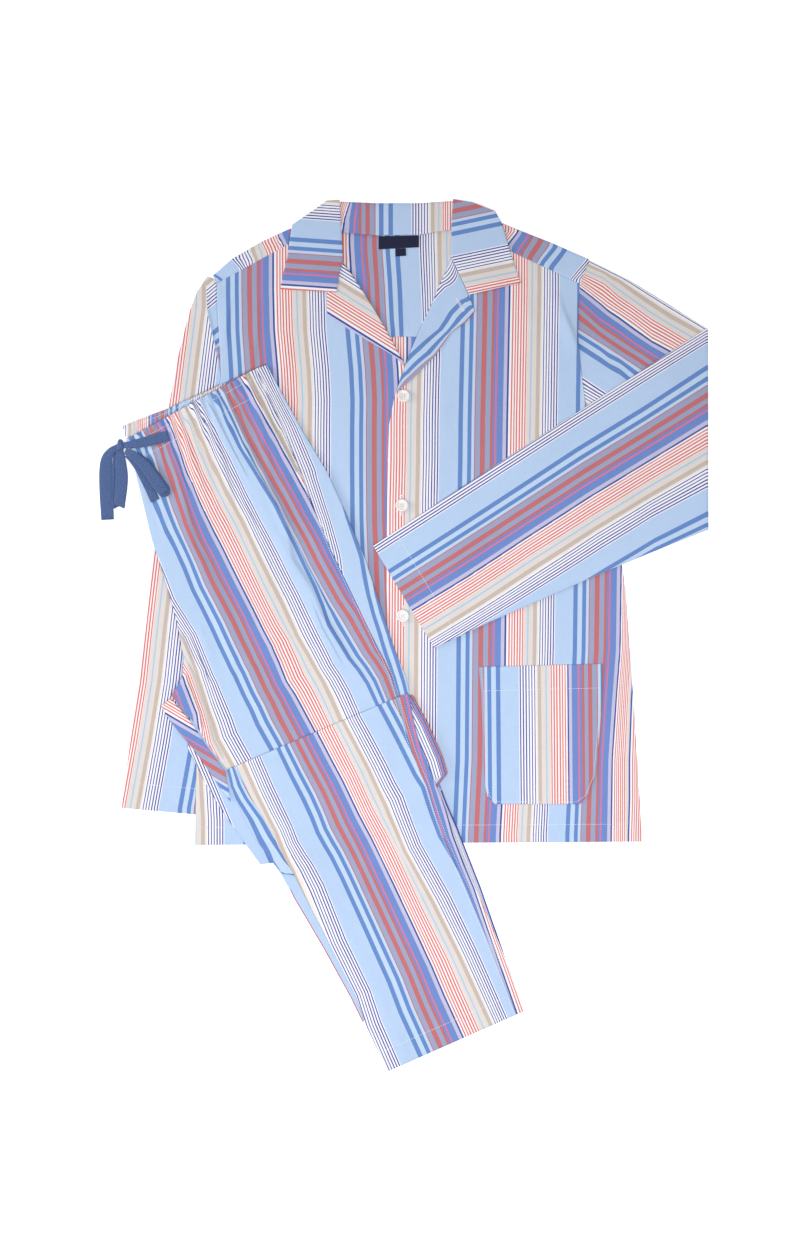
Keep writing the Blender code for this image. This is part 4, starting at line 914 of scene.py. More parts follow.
def shell(name, top, bottom, chart, run, material, slot, kept=None, bulge=0.0002, soft=0.24):
    """Closed cloth: a top grid, a bottom grid, and a rim round every open side. The rim's middle
    line stands out a little and the two surfaces draw together there, as at a turned edge."""
    rows, columns = top.shape[:2]
    quads = grid_faces(rows, columns, kept)
    top, bottom = top.reshape(-1, 3), bottom.reshape(-1, 3)
    a, b, c, d = (top[quads[:, i]] for i in range(4))
    if (np.cross(c - a, d - b) * (top - bottom)[quads[:, 0]]).sum() < 0:
        quads = quads[:, ::-1]
    used, quads = np.unique(quads, return_inverse=True)
    quads = quads.reshape(-1, 4)
    top, bottom = top[used].copy(), bottom[used].copy()
    coordinates = stripe_map(chart, run)[used]
    count = len(used)
    sides = quads[:, [0, 1, 1, 2, 2, 3, 3, 0]].reshape(-1, 2)
    ordered = np.sort(sides, axis=1).astype(np.int64)
    _, same, times = np.unique(ordered[:, 0] * count + ordered[:, 1], return_inverse=True,
                               return_counts=True)
    rim = sides[times[same.ravel()] == 1]
    out = np.cross(top[rim[:, 1]] - top[rim[:, 0]], (top - bottom)[rim[:, 0]])
    outward = np.zeros((count, 3))
    np.add.at(outward, rim[:, 0], out)
    np.add.at(outward, rim[:, 1], out)
    border = np.unique(rim)
    middle = (top[border] + bottom[border]) / 2 + unit_of(outward[border]) * bulge
    pinch = (top[border] - bottom[border]) * soft
    top[border] -= pinch
    bottom[border] += pinch
    index = np.zeros(count, int)
    index[border] = 2 * count + np.arange(len(border))
    first, last = rim[:, 0], rim[:, 1]
    faces = np.concatenate([
        quads, quads[:, ::-1] + count,
        np.stack([last, first, index[first], index[last]], -1),
        np.stack([index[last], index[first], first + count, last + count], -1)])
    points = np.concatenate([top, bottom, middle])
    coordinates = np.concatenate([coordinates, coordinates, coordinates[border]])
    return new_piece(name, points, faces.tolist(), coordinates, material)


def tube(name, middle, chart_over, chart_under, run):
    """A flattened tube of shirting, open at both ends: one wall lies on each side of a middle
    grid, and the walls turn into each other along both long edges. Each ring runs out over the
    upper wall, round the far edge, back under the lower wall and round the near edge."""
    normal = normals_of(middle)
    normal *= math.copysign(1, normal[5, 5, 2])
    half = np.full((middle.shape[1], 1), FLAT_SLEEVE / 2000)
    half[[0, -1]] *= 0.62  # the walls draw together at the folded edges
    hollow = normal * TUBE_HOLLOW / 2000

    def side(edge, second, third):
        """By one long edge: the rim outside, the lining's first column and the rim inside."""
        away = unit_of(middle[:, edge] - middle[:, third]) * TUBE_RIM / 1000
        drawn_in = [(1 - share) * middle[:, edge] + share * middle[:, second]
                    for share in (0.85, 0.7)]
        return (middle[:, edge] + away)[:, None], drawn_in[0], drawn_in[1][:, None]

    core = middle.copy()
    near_rim, core[:, 0], near_lining = side(0, 1, 2)
    far_rim, core[:, -1], far_lining = side(-1, -2, -3)
    outer = np.concatenate([middle + normal * half, far_rim,
                            (middle - normal * half)[:, ::-1], near_rim], axis=1)
    inner = np.concatenate([core + hollow, far_lining, (core - hollow)[:, ::-1], near_lining],
                           axis=1)
    grid = np.arange(outer[..., 0].size).reshape(outer.shape[:2])
    lining = grid + grid.size
    skin = ring_quads(grid)
    faces = np.concatenate([skin, ring_quads(lining)[:, ::-1],
                            ring_quads(np.stack([lining[0], grid[0]])),
                            ring_quads(np.stack([grid[-1], lining[-1]]))])
    chart = np.concatenate([chart_over, chart_over[:, -1:], chart_under[:, ::-1],
                            chart_over[:, :1]], axis=1)
    place = np.concatenate([run, run[:, -1:], run[:, ::-1], run[:, :1]], axis=1)
    points = np.concatenate([outer.reshape(-1, 3), inner.reshape(-1, 3)])
    return new_piece(name, points, facing_out(faces.tolist(), points, skin),
                     np.tile(stripe_map(chart, place), (2, 1)), cloth())


def signed_power(values, power):
    return np.sign(values) * np.abs(values) ** power


def sweep(name, route, across, width):
    """Flat tape carried along a route: a rounded oblong of the given widths, its long axis
    across the route, closed at both ends."""
    heading = unit_of(np.gradient(route, axis=0))
    across = unit_of(across - (across * heading).sum(axis=1, keepdims=True) * heading)
    up = np.cross(heading, across)
    turn = np.linspace(0, 2 * math.pi, TAPE_SIDES, endpoint=False)
    wide = signed_power(np.cos(turn), 0.55) / 2
    high = signed_power(np.sin(turn), 0.7) / 2 * TAPE_THICK / 1000
    points = (route[:, None] + across[:, None] * (width[:, None] * wide)[..., None]
              + up[:, None] * high[:, None])
    runs = np.append(0, np.cumsum(np.linalg.norm(np.diff(route, axis=0), axis=1)))
    coordinates = np.stack([np.tile(wide, len(route)),
                            np.repeat(runs, TAPE_SIDES) * 1000 / TAPE_WIDTH], -1)
    return ringed(name, points, coordinates, material_of("Drawstring tape"))


def surface_height(panel, x, y, nearest=4, block=200):
    """Height of a panel's top over plan points, a block of them at a time: a mean of its nearest
    grid points, weighted by how close they are."""
    points = PANELS[panel].reshape(-1, 3)
    target = to_metres(x, y, 0 * x)
    heights = np.empty(len(target))
    for start in range(0, len(target), block):
        part = target[start:start + block]
        gap = np.hypot(part[:, None, 0] - points[:, 0], part[:, None, 1] - points[:, 1])
        near = np.argpartition(gap, nearest, axis=1)[:, :nearest]
        weight = 1 / (np.take_along_axis(gap, near, 1) + 1e-5)
        heights[start:start + block] = (points[near, 2] * weight).sum(1) / weight.sum(1)
    return heights


def declare(piece, top, node, turns=1):
    """Keeps a cloth piece's top and hides the node that it replaces. It works out the piece's flat
    size on its own surface, the area of what the mesh covers and a length and width that keep the
    piece's own proportions, but states it nowhere."""
    PANELS[piece.name] = top
    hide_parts(node)
    areas = np.empty(len(piece.data.polygons))
    piece.data.polygons.foreach_get("area", areas)
    length = np.linalg.norm(np.diff(top, axis=0), axis=-1).sum(axis=0).max()
    width = turns * np.linalg.norm(np.diff(top, axis=1), axis=-1).sum(axis=1).max()
    length, width = (max(round(size, 3), 0.01) for size in (length, width))


def panel(name, node, x, y, under, chart, rests_on, held="laid", run=None, wall=CLOTH,
          material="Shirting", slot="shirting"):
    """A single panel lying flat: its top is a wall above its underside."""
    under = np.broadcast_to(under, x.shape)
    top = to_metres(x, y, under + wall)
    piece = shell(name, top, to_metres(x, y, under), chart,
                  run_along(x, y) if run is None else run, material_of(material), slot)
    declare(piece, top, node)


# ------------------------------------------------------------------ sizes and colours


def tone(red, green, blue):
    """A colour given in everyday values from 0 to 255, as the linear values that shaders use."""
    values = [channel / 255 for channel in (red, green, blue)]
    return tuple(v / 12.92 if v <= 0.04045 else ((v + 0.055) / 1.055) ** 2.4 for v in values)


def colour_of(name, description, red, green, blue):
    return FloatVectorProperty(name=name, description=description, subtype="COLOR", size=3,
                               min=0, max=1, default=tone(red, green, blue))


class PyjamaColours(bpy.types.PropertyGroup):
    """Colours of the shirting's stripes and of the trims."""

    white: colour_of("White", "Ground of the fine stripes", 246, 245, 248)
    coral: colour_of("Coral", "The six fine red lines", 226, 116, 106)
    beige: colour_of("Beige", "Band beside the coral lines", 226, 217, 211)
    sky: colour_of("Sky", "Thin blue line in the beige band", 170, 202, 236)
    tan: colour_of("Tan", "Brown band", 202, 187, 178)
    cream: colour_of("Cream", "Edge of the brown band", 236, 230, 224)
    violet: colour_of("Violet blue", "The six fine blue pins", 66, 74, 164)
    light_blue: colour_of("Light blue", "Widest band", 185, 208, 239)
    royal: colour_of("Royal blue", "The pair of dark blue bands", 104, 139, 201)
    pale_sky: colour_of("Pale sky", "Between the royal bands", 192, 214, 240)
    brick: colour_of("Brick", "Red bands on the grey blue", 196, 113, 117)
    grey_blue: colour_of("Grey blue", "Ground of the brick bands", 156, 164, 195)
    pink: colour_of("Hot pink", "Thin bright line", 216, 122, 152)
    mid_blue: colour_of("Mid blue", "Band beside the hot pink line", 112, 140, 204)
    lilac: colour_of("Lilac", "Pale violet band", 198, 193, 222)
    navy: colour_of("Navy", "Dark line before the white", 60, 82, 160)
    tape: colour_of("Tape", "Woven drawstring tape", 80, 102, 148)
    label: colour_of("Label", "Woven neck label", 20, 26, 58)
    button: colour_of("Button", "Pearly buttons", 236, 232, 230)
    thread: colour_of("Thread", "Stitching thread", 240, 240, 244)
    floor: colour_of("Floor", "Surface that the set lies on", 252, 252, 253)


class PyjamaSizes(bpy.types.PropertyGroup):
    """Sizes of the finish that scene pieces are given."""

    stitch_length: FloatProperty(name="Stitch length", description="Length of one visible stitch",
                                 default=0.0019, min=0.0005, max=0.01, unit="LENGTH")
    stitch_pitch: FloatProperty(name="Stitch pitch", description="From one stitch to the next",
                                default=0.0031, min=0.001, max=0.02, unit="LENGTH")
    stitch_width: FloatProperty(name="Stitch width", description="Width of the stitching thread",
                                default=0.0007, min=0.0001, max=0.003, unit="LENGTH")
    weave_depth: FloatProperty(name="Weave depth", description="Height of the threads in the weave",
                               default=0.00009, min=0, max=0.001, unit="LENGTH", precision=6)
    crumple_depth: FloatProperty(name="Crumple depth", description="Height of the fine crumple",
                                 default=0.0009, min=0, max=0.01, unit="LENGTH", precision=5)
    weave_count: IntProperty(name="Weave count", description="Threads in one stripe repeat",
                             default=220, min=40, max=600)


def colours():
    return bpy.context.scene.pyjama_colours


def sizes():
    return bpy.context.scene.pyjama_sizes


# ------------------------------------------------------------------ materials


def new_node(tree, kind, settings=None, **inputs):
    """A shader node: settings set its own options, and inputs are values or sockets to link."""
    node = tree.nodes.new(kind)
    for key, value in (settings or {}).items():
        setattr(node, key, value)
    for key, value in inputs.items():
        socket = node.inputs[int(key[1:]) if key[1:].isdigit() else key]
        if isinstance(value, bpy.types.NodeSocket):
            tree.links.new(value, socket)
        else:
            socket.default_value = value
    return node


def maths(tree, operation, *values):
    inputs = {f"i{index}": value for index, value in enumerate(values)}
    return new_node(tree, "ShaderNodeMath", {"operation": operation}, **inputs).outputs[0]


def noise(tree, place, scale, detail, distortion=0.0):
    return new_node(tree, "ShaderNodeTexNoise", Vector=place, Scale=scale, Detail=detail,
                    Distortion=distortion).outputs["Fac"]


def object_place(tree):
    return new_node(tree, "ShaderNodeTexCoord").outputs["Object"]


def map_place(tree):
    """Place across and place along on the Stripes map."""
    read = new_node(tree, "ShaderNodeUVMap", {"uv_map": "Stripes"}).outputs[0]
    return new_node(tree, "ShaderNodeSeparateXYZ", i0=read).outputs[:2]


def tint(tree, shader, colour, shade):
    """Gives the shader a colour made lighter and darker by shade."""
    scaled = new_node(tree, "ShaderNodeVectorMath", {"operation": "SCALE"}, i0=colour, Scale=shade)
    tree.links.new(scaled.outputs[0], shader.inputs["Base Color"])


def bump(tree, strength, distance, height, **below):
    return new_node(tree, "ShaderNodeBump", Strength=strength, Distance=distance, Height=height,
                    **below).outputs[0]


def blank_material(name, roughness, sheen=0.0, specular=0.3):
    """A Principled material with constants on its own sockets, its tree and its shader."""
    material = bpy.data.materials.new(name)
    material.use_nodes = True
    tree = material.node_tree
    shader = tree.nodes["Principled BSDF"]
    shader.inputs["Roughness"].default_value = roughness
    shader.inputs["Specular IOR Level"].default_value = specular
    shader.inputs["Sheen Weight"].default_value = sheen
    shader.inputs["Sheen Roughness"].default_value = 0.5
    return material, tree, shader


def stripe_ramp(tree, place, bands, start):
    """Flat bands of colour over half a repeat."""
    ramp = new_node(tree, "ShaderNodeValToRGB", Fac=place)
    ramp.color_ramp.interpolation = "CONSTANT"
    elements = ramp.color_ramp.elements
    for _ in bands[2:]:
        elements.new(0.5)
    for element in elements:
        element.position = 0
    for index, band in enumerate(bands):
        elements[index].position = (band.start - start) / (REPEAT / 2)
        elements[index].color = (*getattr(colours(), band.colour), 1)
    return ramp.outputs["Color"]


def shirting():
    """Woven multi-stripe cotton: bands of colour across the Stripes map, uneven threads both
    ways, a plain weave of crossed sines, and a fine crumple."""
    material, tree, shader = blank_material("Shirting", 0.86, sheen=0.12, specular=0.22)
    across, down = map_place(tree)
    turn = maths(tree, "FRACT", across)
    first = stripe_ramp(tree, maths(tree, "MULTIPLY", turn, 2.0), FIRST_HALF, 0)
    second = stripe_ramp(tree, maths(tree, "MULTIPLY_ADD", turn, 2.0, -1.0), SECOND_HALF, 60)
    band = new_node(tree, "ShaderNodeMix", {"data_type": "RGBA"},
                    i0=maths(tree, "GREATER_THAN", turn, 0.5), i6=first, i7=second).outputs[2]

    def threads(across_scale, down_scale, layer):
        """Noise drawn out along the threads that run one way."""
        place = new_node(
            tree, "ShaderNodeCombineXYZ", i0=maths(tree, "MULTIPLY", across, across_scale),
            i1=maths(tree, "MULTIPLY", down, down_scale), i2=layer).outputs[0]
        return noise(tree, place, 1.0, 2.0)

    warp, weft = threads(260.0, 7.0, 0.0), threads(6.0, 200.0, 3.0)
    where = object_place(tree)
    uneven = maths(tree, "ADD", maths(tree, "MULTIPLY", warp, 0.16),
                   maths(tree, "MULTIPLY", weft, 0.12))
    broad = maths(tree, "MULTIPLY", noise(tree, where, 14.0, 3.0), 0.05)
    tint(tree, shader, band, maths(tree, "ADD", maths(tree, "ADD", uneven, broad), 0.835))
    count = 2 * math.pi * sizes().weave_count
    weave = maths(tree, "MULTIPLY", *(
        maths(tree, "SINE", maths(tree, "MULTIPLY", place, count)) for place in (across, down)))
    coarse = bump(tree, 0.75, sizes().crumple_depth, noise(tree, where, 46.0, 3.5, 0.6))
    fine = bump(tree, 0.5, sizes().weave_depth, weave, Normal=coarse)
    tree.links.new(fine, shader.inputs["Normal"])
    tree.links.new(maths(tree, "MULTIPLY_ADD", weft, 0.14, 0.78), shader.inputs["Roughness"])
    return material


def woven_tape(name, colour, ribs, roughness, heather):
    """Narrow fabric: a herringbone of slanted ribs that change side at the middle, with uneven
    threads."""
    material, tree, shader = blank_material(name, roughness, sheen=0.2, specular=0.25)
    across, down = map_place(tree)
    slant = maths(tree, "ADD", down, maths(tree, "ABSOLUTE", across))
    rib = maths(tree, "SINE", maths(tree, "MULTIPLY", slant, 2 * math.pi * ribs))
    speckle = noise(tree, object_place(tree), 520.0, 3.0)
    shade = maths(tree, "MULTIPLY_ADD", speckle, 2 * heather, 1 - heather)
    tint(tree, shader, (*colour,), maths(tree, "ADD", shade, maths(tree, "MULTIPLY", rib, 0.07)))
    tree.links.new(bump(tree, 0.6, 0.00025, rib), shader.inputs["Normal"])
    return material


def clouded(name, colour, roughness, clouds, spread, least, relief=0.0, **finish):
    """Plain stuff whose colour clouds over a little, with the same clouds as a shallow bump."""
    material, tree, shader = blank_material(name, roughness, **finish)
    cloud = noise(tree, object_place(tree), *clouds)
    tint(tree, shader, (*colour,), maths(tree, "MULTIPLY_ADD", cloud, spread, least))
    if relief:
        tree.links.new(bump(tree, relief, 0.0001, cloud), shader.inputs["Normal"])
    return material, shader


def pearl():
    """Pearly plastic: clouded white with a soft gloss."""
    material, shader = clouded("Button pearl", colours().button, 0.28, (240.0, 4.0, 1.5), 0.24,
                               0.86, relief=0.15, specular=0.5)
    shader.inputs["Coat Weight"].default_value = 0.3
    shader.inputs["Coat Roughness"].default_value = 0.15
    return material


MAKERS = {
    "Shirting": shirting,
    "Button pearl": pearl,
    "Sewing thread": lambda: clouded("Sewing thread", colours().thread, 0.7, (1500.0, 2.0), 0.2,
                                     0.88, relief=0.4, sheen=0.15)[0],
    "Drawstring tape": lambda: woven_tape("Drawstring tape", colours().tape, 4, 0.88, 0.4),
    "Label satin": lambda: woven_tape("Label satin", colours().label, 60, 0.6, 0.12),
}


def material_of(kind):
    """The scene's own material of that kind, made the first time that it is asked for."""
    return bpy.data.materials.get(kind) or MAKERS[kind]()


def cloth():
    return material_of("Shirting")


# ------------------------------------------------------------------ camera, light and floor

PICTURE_CENTRE = (-2.5, 275.6)  # plan point in the middle of the view
PICTURE_HEIGHT = 1.55625  # metres of plan that the view takes in, top to bottom
LENS, SENSOR = 70, 36


def add_camera():
    lens = bpy.data.cameras.new("Camera")
    lens.lens, lens.sensor_fit, lens.sensor_height = LENS, "VERTICAL", SENSOR
    lens.clip_start, lens.clip_end = 0.05, 30
    camera = bpy.data.objects.new("Camera", lens)
    x, y, _ = to_metres(*PICTURE_CENTRE, 0)
    camera.location = (x, y, PICTURE_HEIGHT * LENS / SENSOR)
    bpy.context.scene.collection.objects.link(camera)
    bpy.context.scene.camera = camera


def add_lamp(name, place, aim, size, power):
    lamp = bpy.data.lights.new(name, "AREA")
    lamp.shape, lamp.size, lamp.energy = "SQUARE", size, power
    obj = bpy.data.objects.new(name, lamp)
    obj.location = place
    obj.rotation_euler = (Vector(aim) - Vector(place)).to_track_quat("-Z", "Y").to_euler()
    bpy.context.scene.collection.objects.link(obj)


def add_stage():
    """A white floor that glows a little, light all round, a soft lamp overhead and a low one at
    the left that brings out the creases."""
    material, shader = clouded("Studio floor", colours().floor, 0.9, (2.0, 2.0), 0.02, 0.98,
                               specular=0.1)
    shader.inputs["Emission Color"].default_value = (1, 1, 1, 1)
    shader.inputs["Emission Strength"].default_value = 0.5
    steps = np.linspace(-6, 6, 9)
    x, y = np.meshgrid(steps, steps, indexing="ij")
    points = np.stack([x, y, 0 * x - 0.0002], -1).reshape(-1, 3)
    faces = grid_faces(len(steps), len(steps))[:, ::-1].tolist()
    floor = new_object("Studio floor", points, faces, material)
    world = bpy.data.worlds.new("Studio")
    world.use_nodes = True
    world.node_tree.nodes["Background"].inputs["Color"].default_value = (0.97, 0.985, 1.0, 1)
    world.node_tree.nodes["Background"].inputs["Strength"].default_value = 0.35
    bpy.context.scene.world = world
    add_lamp("Key", (0.05, -0.35, 1.35), (0.05, -0.35, 0), 0.9, 15)
    add_lamp("Rake", (-1.9, 0.6, 0.7), (0.15, 0, 0), 0.6, 18)
    bpy.context.scene.view_settings.view_transform = "Standard"


# ------------------------------------------------------------------ drawstring


def tape_cord(name, legs, nodes):
    """A length of flat tape through the points of its legs, one after the other: a smooth curve
    through them, its long axis level and square to the route."""
    points = np.array([point for leg in legs for point in leg], float)
    sent = np.linalg.norm(np.diff(points[:, :3], axis=0), axis=1).sum()
    route = smooth_route(points, max(24, int(sent / TAPE_STEP)))
    steps = unit_of(np.gradient(route[:, :2], axis=0))
    last = steps[0]
    for index, step in enumerate(steps):  # the heading lags behind, and never turns about
        last = unit_of(last * 0.6 + (step if step @ last >= 0 else -step) * 0.4)
        steps[index] = last
    across = np.stack([-steps[:, 1], steps[:, 0], 0 * steps[:, 0]], -1)
    path = to_metres(route[:, 0], route[:, 1], route[:, 2] + TAPE_THICK / 2)
    tape = sweep(name, path, across, route[:, 3] / 1000)
    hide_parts(*nodes)


def add_knot():
    """The bow's knot: a squared ball whose girth swells and dips where the tape is wound."""
    v, u = np.meshgrid(np.linspace(0, math.pi, 27), np.linspace(0, 2 * math.pi, 49)[:-1],
                       indexing="ij")
    wound = 1 + 0.10 * np.cos(3 * v + 1.2 * np.sin(u)) + 0.05 * np.sin(2 * u + 3 * v)
    ball = np.stack([np.sin(v) * np.cos(u), np.cos(v), np.sin(v) * np.sin(u)], -1)
    ball = signed_power(ball, 0.8) * wound[..., None] / 1.12 * np.array(KNOT_SIZE) / 2
    points = (ball / 1000 + to_metres(*KNOT, KNOT_SIZE[2] / 2 + 0.3)).reshape(-1, 3)
    index = np.arange(u.size).reshape(u.shape)
    index[0], index[-1] = index[0, 0], index[-1, 0]  # one point at each pole
    quads = ring_quads(index)
    used, quads = np.unique(quads, return_inverse=True)
    quads, points = quads.reshape(-1, 4), points[used]
    faces = facing_out([list(dict.fromkeys(face)) for face in quads.tolist()], points, quads)
    coordinates = np.stack([u / math.pi, v * 0.4], -1).reshape(-1, 2)[used]
    knot = new_piece("drawstring_bow_knot", points, faces, coordinates,
                     material_of("Drawstring tape"))
    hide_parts("drawstring_knot")
    return knot


def shifted(points, dx, dy):
    return [(x + dx, y + dy, level, width) for x, y, level, width in points]


def add_drawstring():
    """One length from the casing through the knot to a free end, and the bow's two loops."""
    knot = add_knot()
    middle = [(*KNOT, 4.4, 7)]
    tape_cord("drawstring_first_end", (TAPE_LEAD, middle, TAPE_END_LEFT),
              ("drawstring_lead", "drawstring_end_left"))
    out, back = TAPE_LOOP_LEFT[:7], TAPE_LOOP_LEFT[7:]
    tape_cord("drawstring_left_loop", (out, shifted(back[:-2], -1.5, 0), back[-2:]),
              ("drawstring_loop_left",))
    out, back = TAPE_LOOP_RIGHT[:7], TAPE_LOOP_RIGHT[7:]
    turn = [(-343, 485.5, 5.6, 8), (-336, 480, 6.2, 11)]
    tape_cord("drawstring_second_end", (out, shifted(back[:-2], 1.6, 1.4), back[-2:-1], turn,
                                        TAPE_END_RIGHT),
              ("drawstring_loop_right", "drawstring_end_right"))


# ------------------------------------------------------------------ jacket


def add_back():
    x, y, *_ = fine_grid(JACKET_BACK, 6, 7)
    panel("jacket_back_panel", "jacket_back", x, y, SLEEVE_LIFT * over_sleeve(x, y),
          stripes_by_guides(x, y, BACK_GUIDES, -1), [])


def add_yoke():
    """The inside of the yoke, folded at the shoulders into two strips that come down to the
    front seams: rows run up the inside, round the fold in half a turn, and down the strips."""
    last = len(YOKE_TOP) - 1
    near_end, far_start = YOKE_STRIP_POINTS, last - YOKE_STRIP_POINTS
    places = np.unique(np.concatenate([
        np.linspace(0, near_end, 31), np.linspace(near_end, far_start, 95),
        np.linspace(far_start, last, 31), [0.06, last - 0.06]]))
    near, far = places <= near_end, places >= far_start
    rim = along(np.array(YOKE_TOP, float), places)
    seam = rim.copy()
    seam[near] = along(np.array(YOKE_SEAM_RIGHT, float), places[near])
    seam[far] = along(np.array(YOKE_SEAM_LEFT, float), places[far] - far_start)
    seam[:, 1] += SEAM_GAP / 3
    inside = between(*edges(YOKE_ROWS), (rim[:, 0] - rim[0, 0]) / (rim[-1, 0] - rim[0, 0]))
    body = along_columns(np.concatenate([inside, rim[None]]),
                         np.concatenate([[0, 0.02], np.linspace(0.1, len(inside), 26)]))
    strip = rim + (seam - rim) * np.append(np.linspace(0, 0.97, 9), 1)[:, None, None]
    low, high = CLOTH / 2, FRONT_LEVEL + CLOTH / 2
    x, y, z = (np.concatenate(parts) for parts in zip(
        (body[..., 0], body[..., 1], np.full(body.shape[:2], low)),
        half_turn(rim[:, 0], rim[:, 1], low, high, 0, 1),
        (strip[..., 0], strip[..., 1], np.full(strip.shape[:2], high))))
    kept = np.ones((len(x) - 1, len(places) - 1), bool)
    kept[len(body) - 1:, ~(near[1:] | far[:-1])] = False
    chart = stripes_by_guides(x, y, YOKE_GUIDES, -1)
    strips = np.where(x < 0, stripes_by_guides(x, y, YOKE_STRIP_RIGHT, -1),
                      stripes_by_guides(x, y, YOKE_STRIP_LEFT, -1))
    chart[len(body):] = strips[len(body):]
    points = to_metres(x, y, z)
    half = normals_of(points) * CLOTH / 2000
    piece = shell("jacket_yoke_piece", points + half, points - half, chart, run_along(x, y),
                  cloth(), "shirting", kept)
    declare(piece, (points + half)[:len(body)], "jacket_yoke")


def add_fronts():
    x, y, *_ = fine_grid(FRONT_RIGHT)
    under = FRONT_LEVEL + SLEEVE_LIFT * over_sleeve(x, y) + body_relief(x, y)
    panel("jacket_right_front", "jacket_front_right", x, y, under,
          stripes_by_guides(x, y, FRONT_RIGHT_GUIDES, 1), ["jacket_back_panel"])
    x, y, *_ = fine_grid(FRONT_LEFT, held=route_track(FRONT_LEFT, SIDE_SEAM))
    beyond = x - x_on(SIDE_SEAM, y)
    chart = np.where((beyond > 0) & (y < SIDE_SEAM[0][1]),
                     SIDE_SEAM_NUMBER + SIDE_SEAM_RATE * beyond / UNIT,
                     stripes_by_guides(x, y, FRONT_LEFT_GUIDES, 1))
    panel("jacket_left_front", "jacket_front_left", x, y,
          left_front_level(x, y) + body_relief(x, y), chart,
          ["jacket_right_front", "jacket_back_panel"])


def add_facings():
    x, y, *_ = fine_grid(FACING_RIGHT, 2.2, 2.6)
    panel("lapel_right", "jacket_facing_right", x, y, LAPEL_LEVEL + body_relief(x, y),
          stripes_by_heading(x, y, FACING_RIGHT_LAY), ["jacket_right_front"], "folded")
    x, y, row, share = fine_grid(FACING_LEFT, 2.2, 2.6)
    chart = stripes_by_shares(row, share, widths(x, y), FACING_LEFT_NUMBERS, FACING_LEFT_LINES)
    panel("lapel_left", "jacket_facing_left", x, y,
          left_front_level(x, y) + CLOTH + LAY_GAP + body_relief(x, y), chart,
          ["jacket_left_front"], "folded")


def add_collar():
    x, y, _, share = fine_grid(COLLAR_STAND, 2.4, 2.8)
    top = to_metres(x, y, COLLAR_ROLL - 1.1 * ease(share) - 0.5 * np.exp(-(share / 0.12) ** 2))
    piece = shell("collar_roll", top, to_metres(x, y, 0 * x),
                  stripes_by_guides(x, y, STAND_GUIDES, -1), run_across(x, y), cloth(),
                  "shirting", bulge=0.0005, soft=0.18)
    declare(piece, top, "collar_stand")
    for name, node, table, outer_first, lay in (
            ("collar_point_right", "collar_leaf_right", LEAF_RIGHT, True, LEAF_RIGHT_LAY),
            ("collar_point_left", "collar_leaf_left", LEAF_LEFT, False, LEAF_LEFT_LAY)):
        x, y, _, share = fine_grid(table, 2.2, 2.8)
        outward = 1 - share if outer_first else share
        settle = ease((LEAVES_LEAVE_STAND - y) / 30) * ease((outward - 0.4) / 0.6)
        panel(name, node, x, y, LEAF_LEVEL - (CLOTH + LAY_GAP) * settle + body_relief(x, y),
              stripes_by_heading(x, y, lay), ["jacket_yoke_piece"], "folded", run_across(x, y))


def add_labels():
    for name, node, table, across in (("neck_label_patch", "neck_label", NECK_LABEL, 1.6),
                                      ("size_tab_patch", "size_tab", SIZE_TAB, 1.2)):
        x, y, *_ = fine_grid(table, across, 1.2)
        panel(name, node, x, y, CLOTH + SEAM_GAP, x, ["jacket_yoke_piece"], wall=LABEL_CLOTH,
              material="Label satin", slot="label")


def add_pocket():
    x, y, _, share = fine_grid(POCKET, 2.6, 3)
    from_side = np.minimum(share, 1 - share) * POCKET_WIDTH
    rise = POCKET_RISE * (1 - ease((6 - from_side) / 4))
    panel("chest_pocket", "jacket_pocket", x, y,
          FRONT_LEVEL + CLOTH + SEAM_GAP + body_relief(x, y) + rise,
          stripes_by_guides(x, y, POCKET_GUIDES, -1), ["jacket_left_front"])


def add_right_sleeve():
    x, y, *_ = fine_grid(SLEEVE_RIGHT, 2.6, 4, route_track(SLEEVE_RIGHT, SLEEVE_CAP_FOLD))
    bare = ((1 - cover(x, y, outline(JACKET_BACK[1:]), 0, 16))
            * (1 - cover(x, y, outline(LEG_HIDDEN), 2, 16)))
    level = FLAT_SLEEVE / 2 + sleeve_relief(x, y) * bare
    chart = np.where((x > x_on(SLEEVE_CAP_FOLD, y)) & (y > CAP_END),
                     stripes_by_heading(x, y, CAP_LAY),
                     stripes_by_guides(x, y, SLEEVE_RIGHT_GUIDES, 1))
    piece = tube("right_sleeve", to_metres(x, y, level), chart, 2 * chart[:, -1:] - chart,
                 run_along(x, y))
    declare(piece, to_metres(x, y, level + FLAT_SLEEVE / 2), "sleeve_right", turns=2)


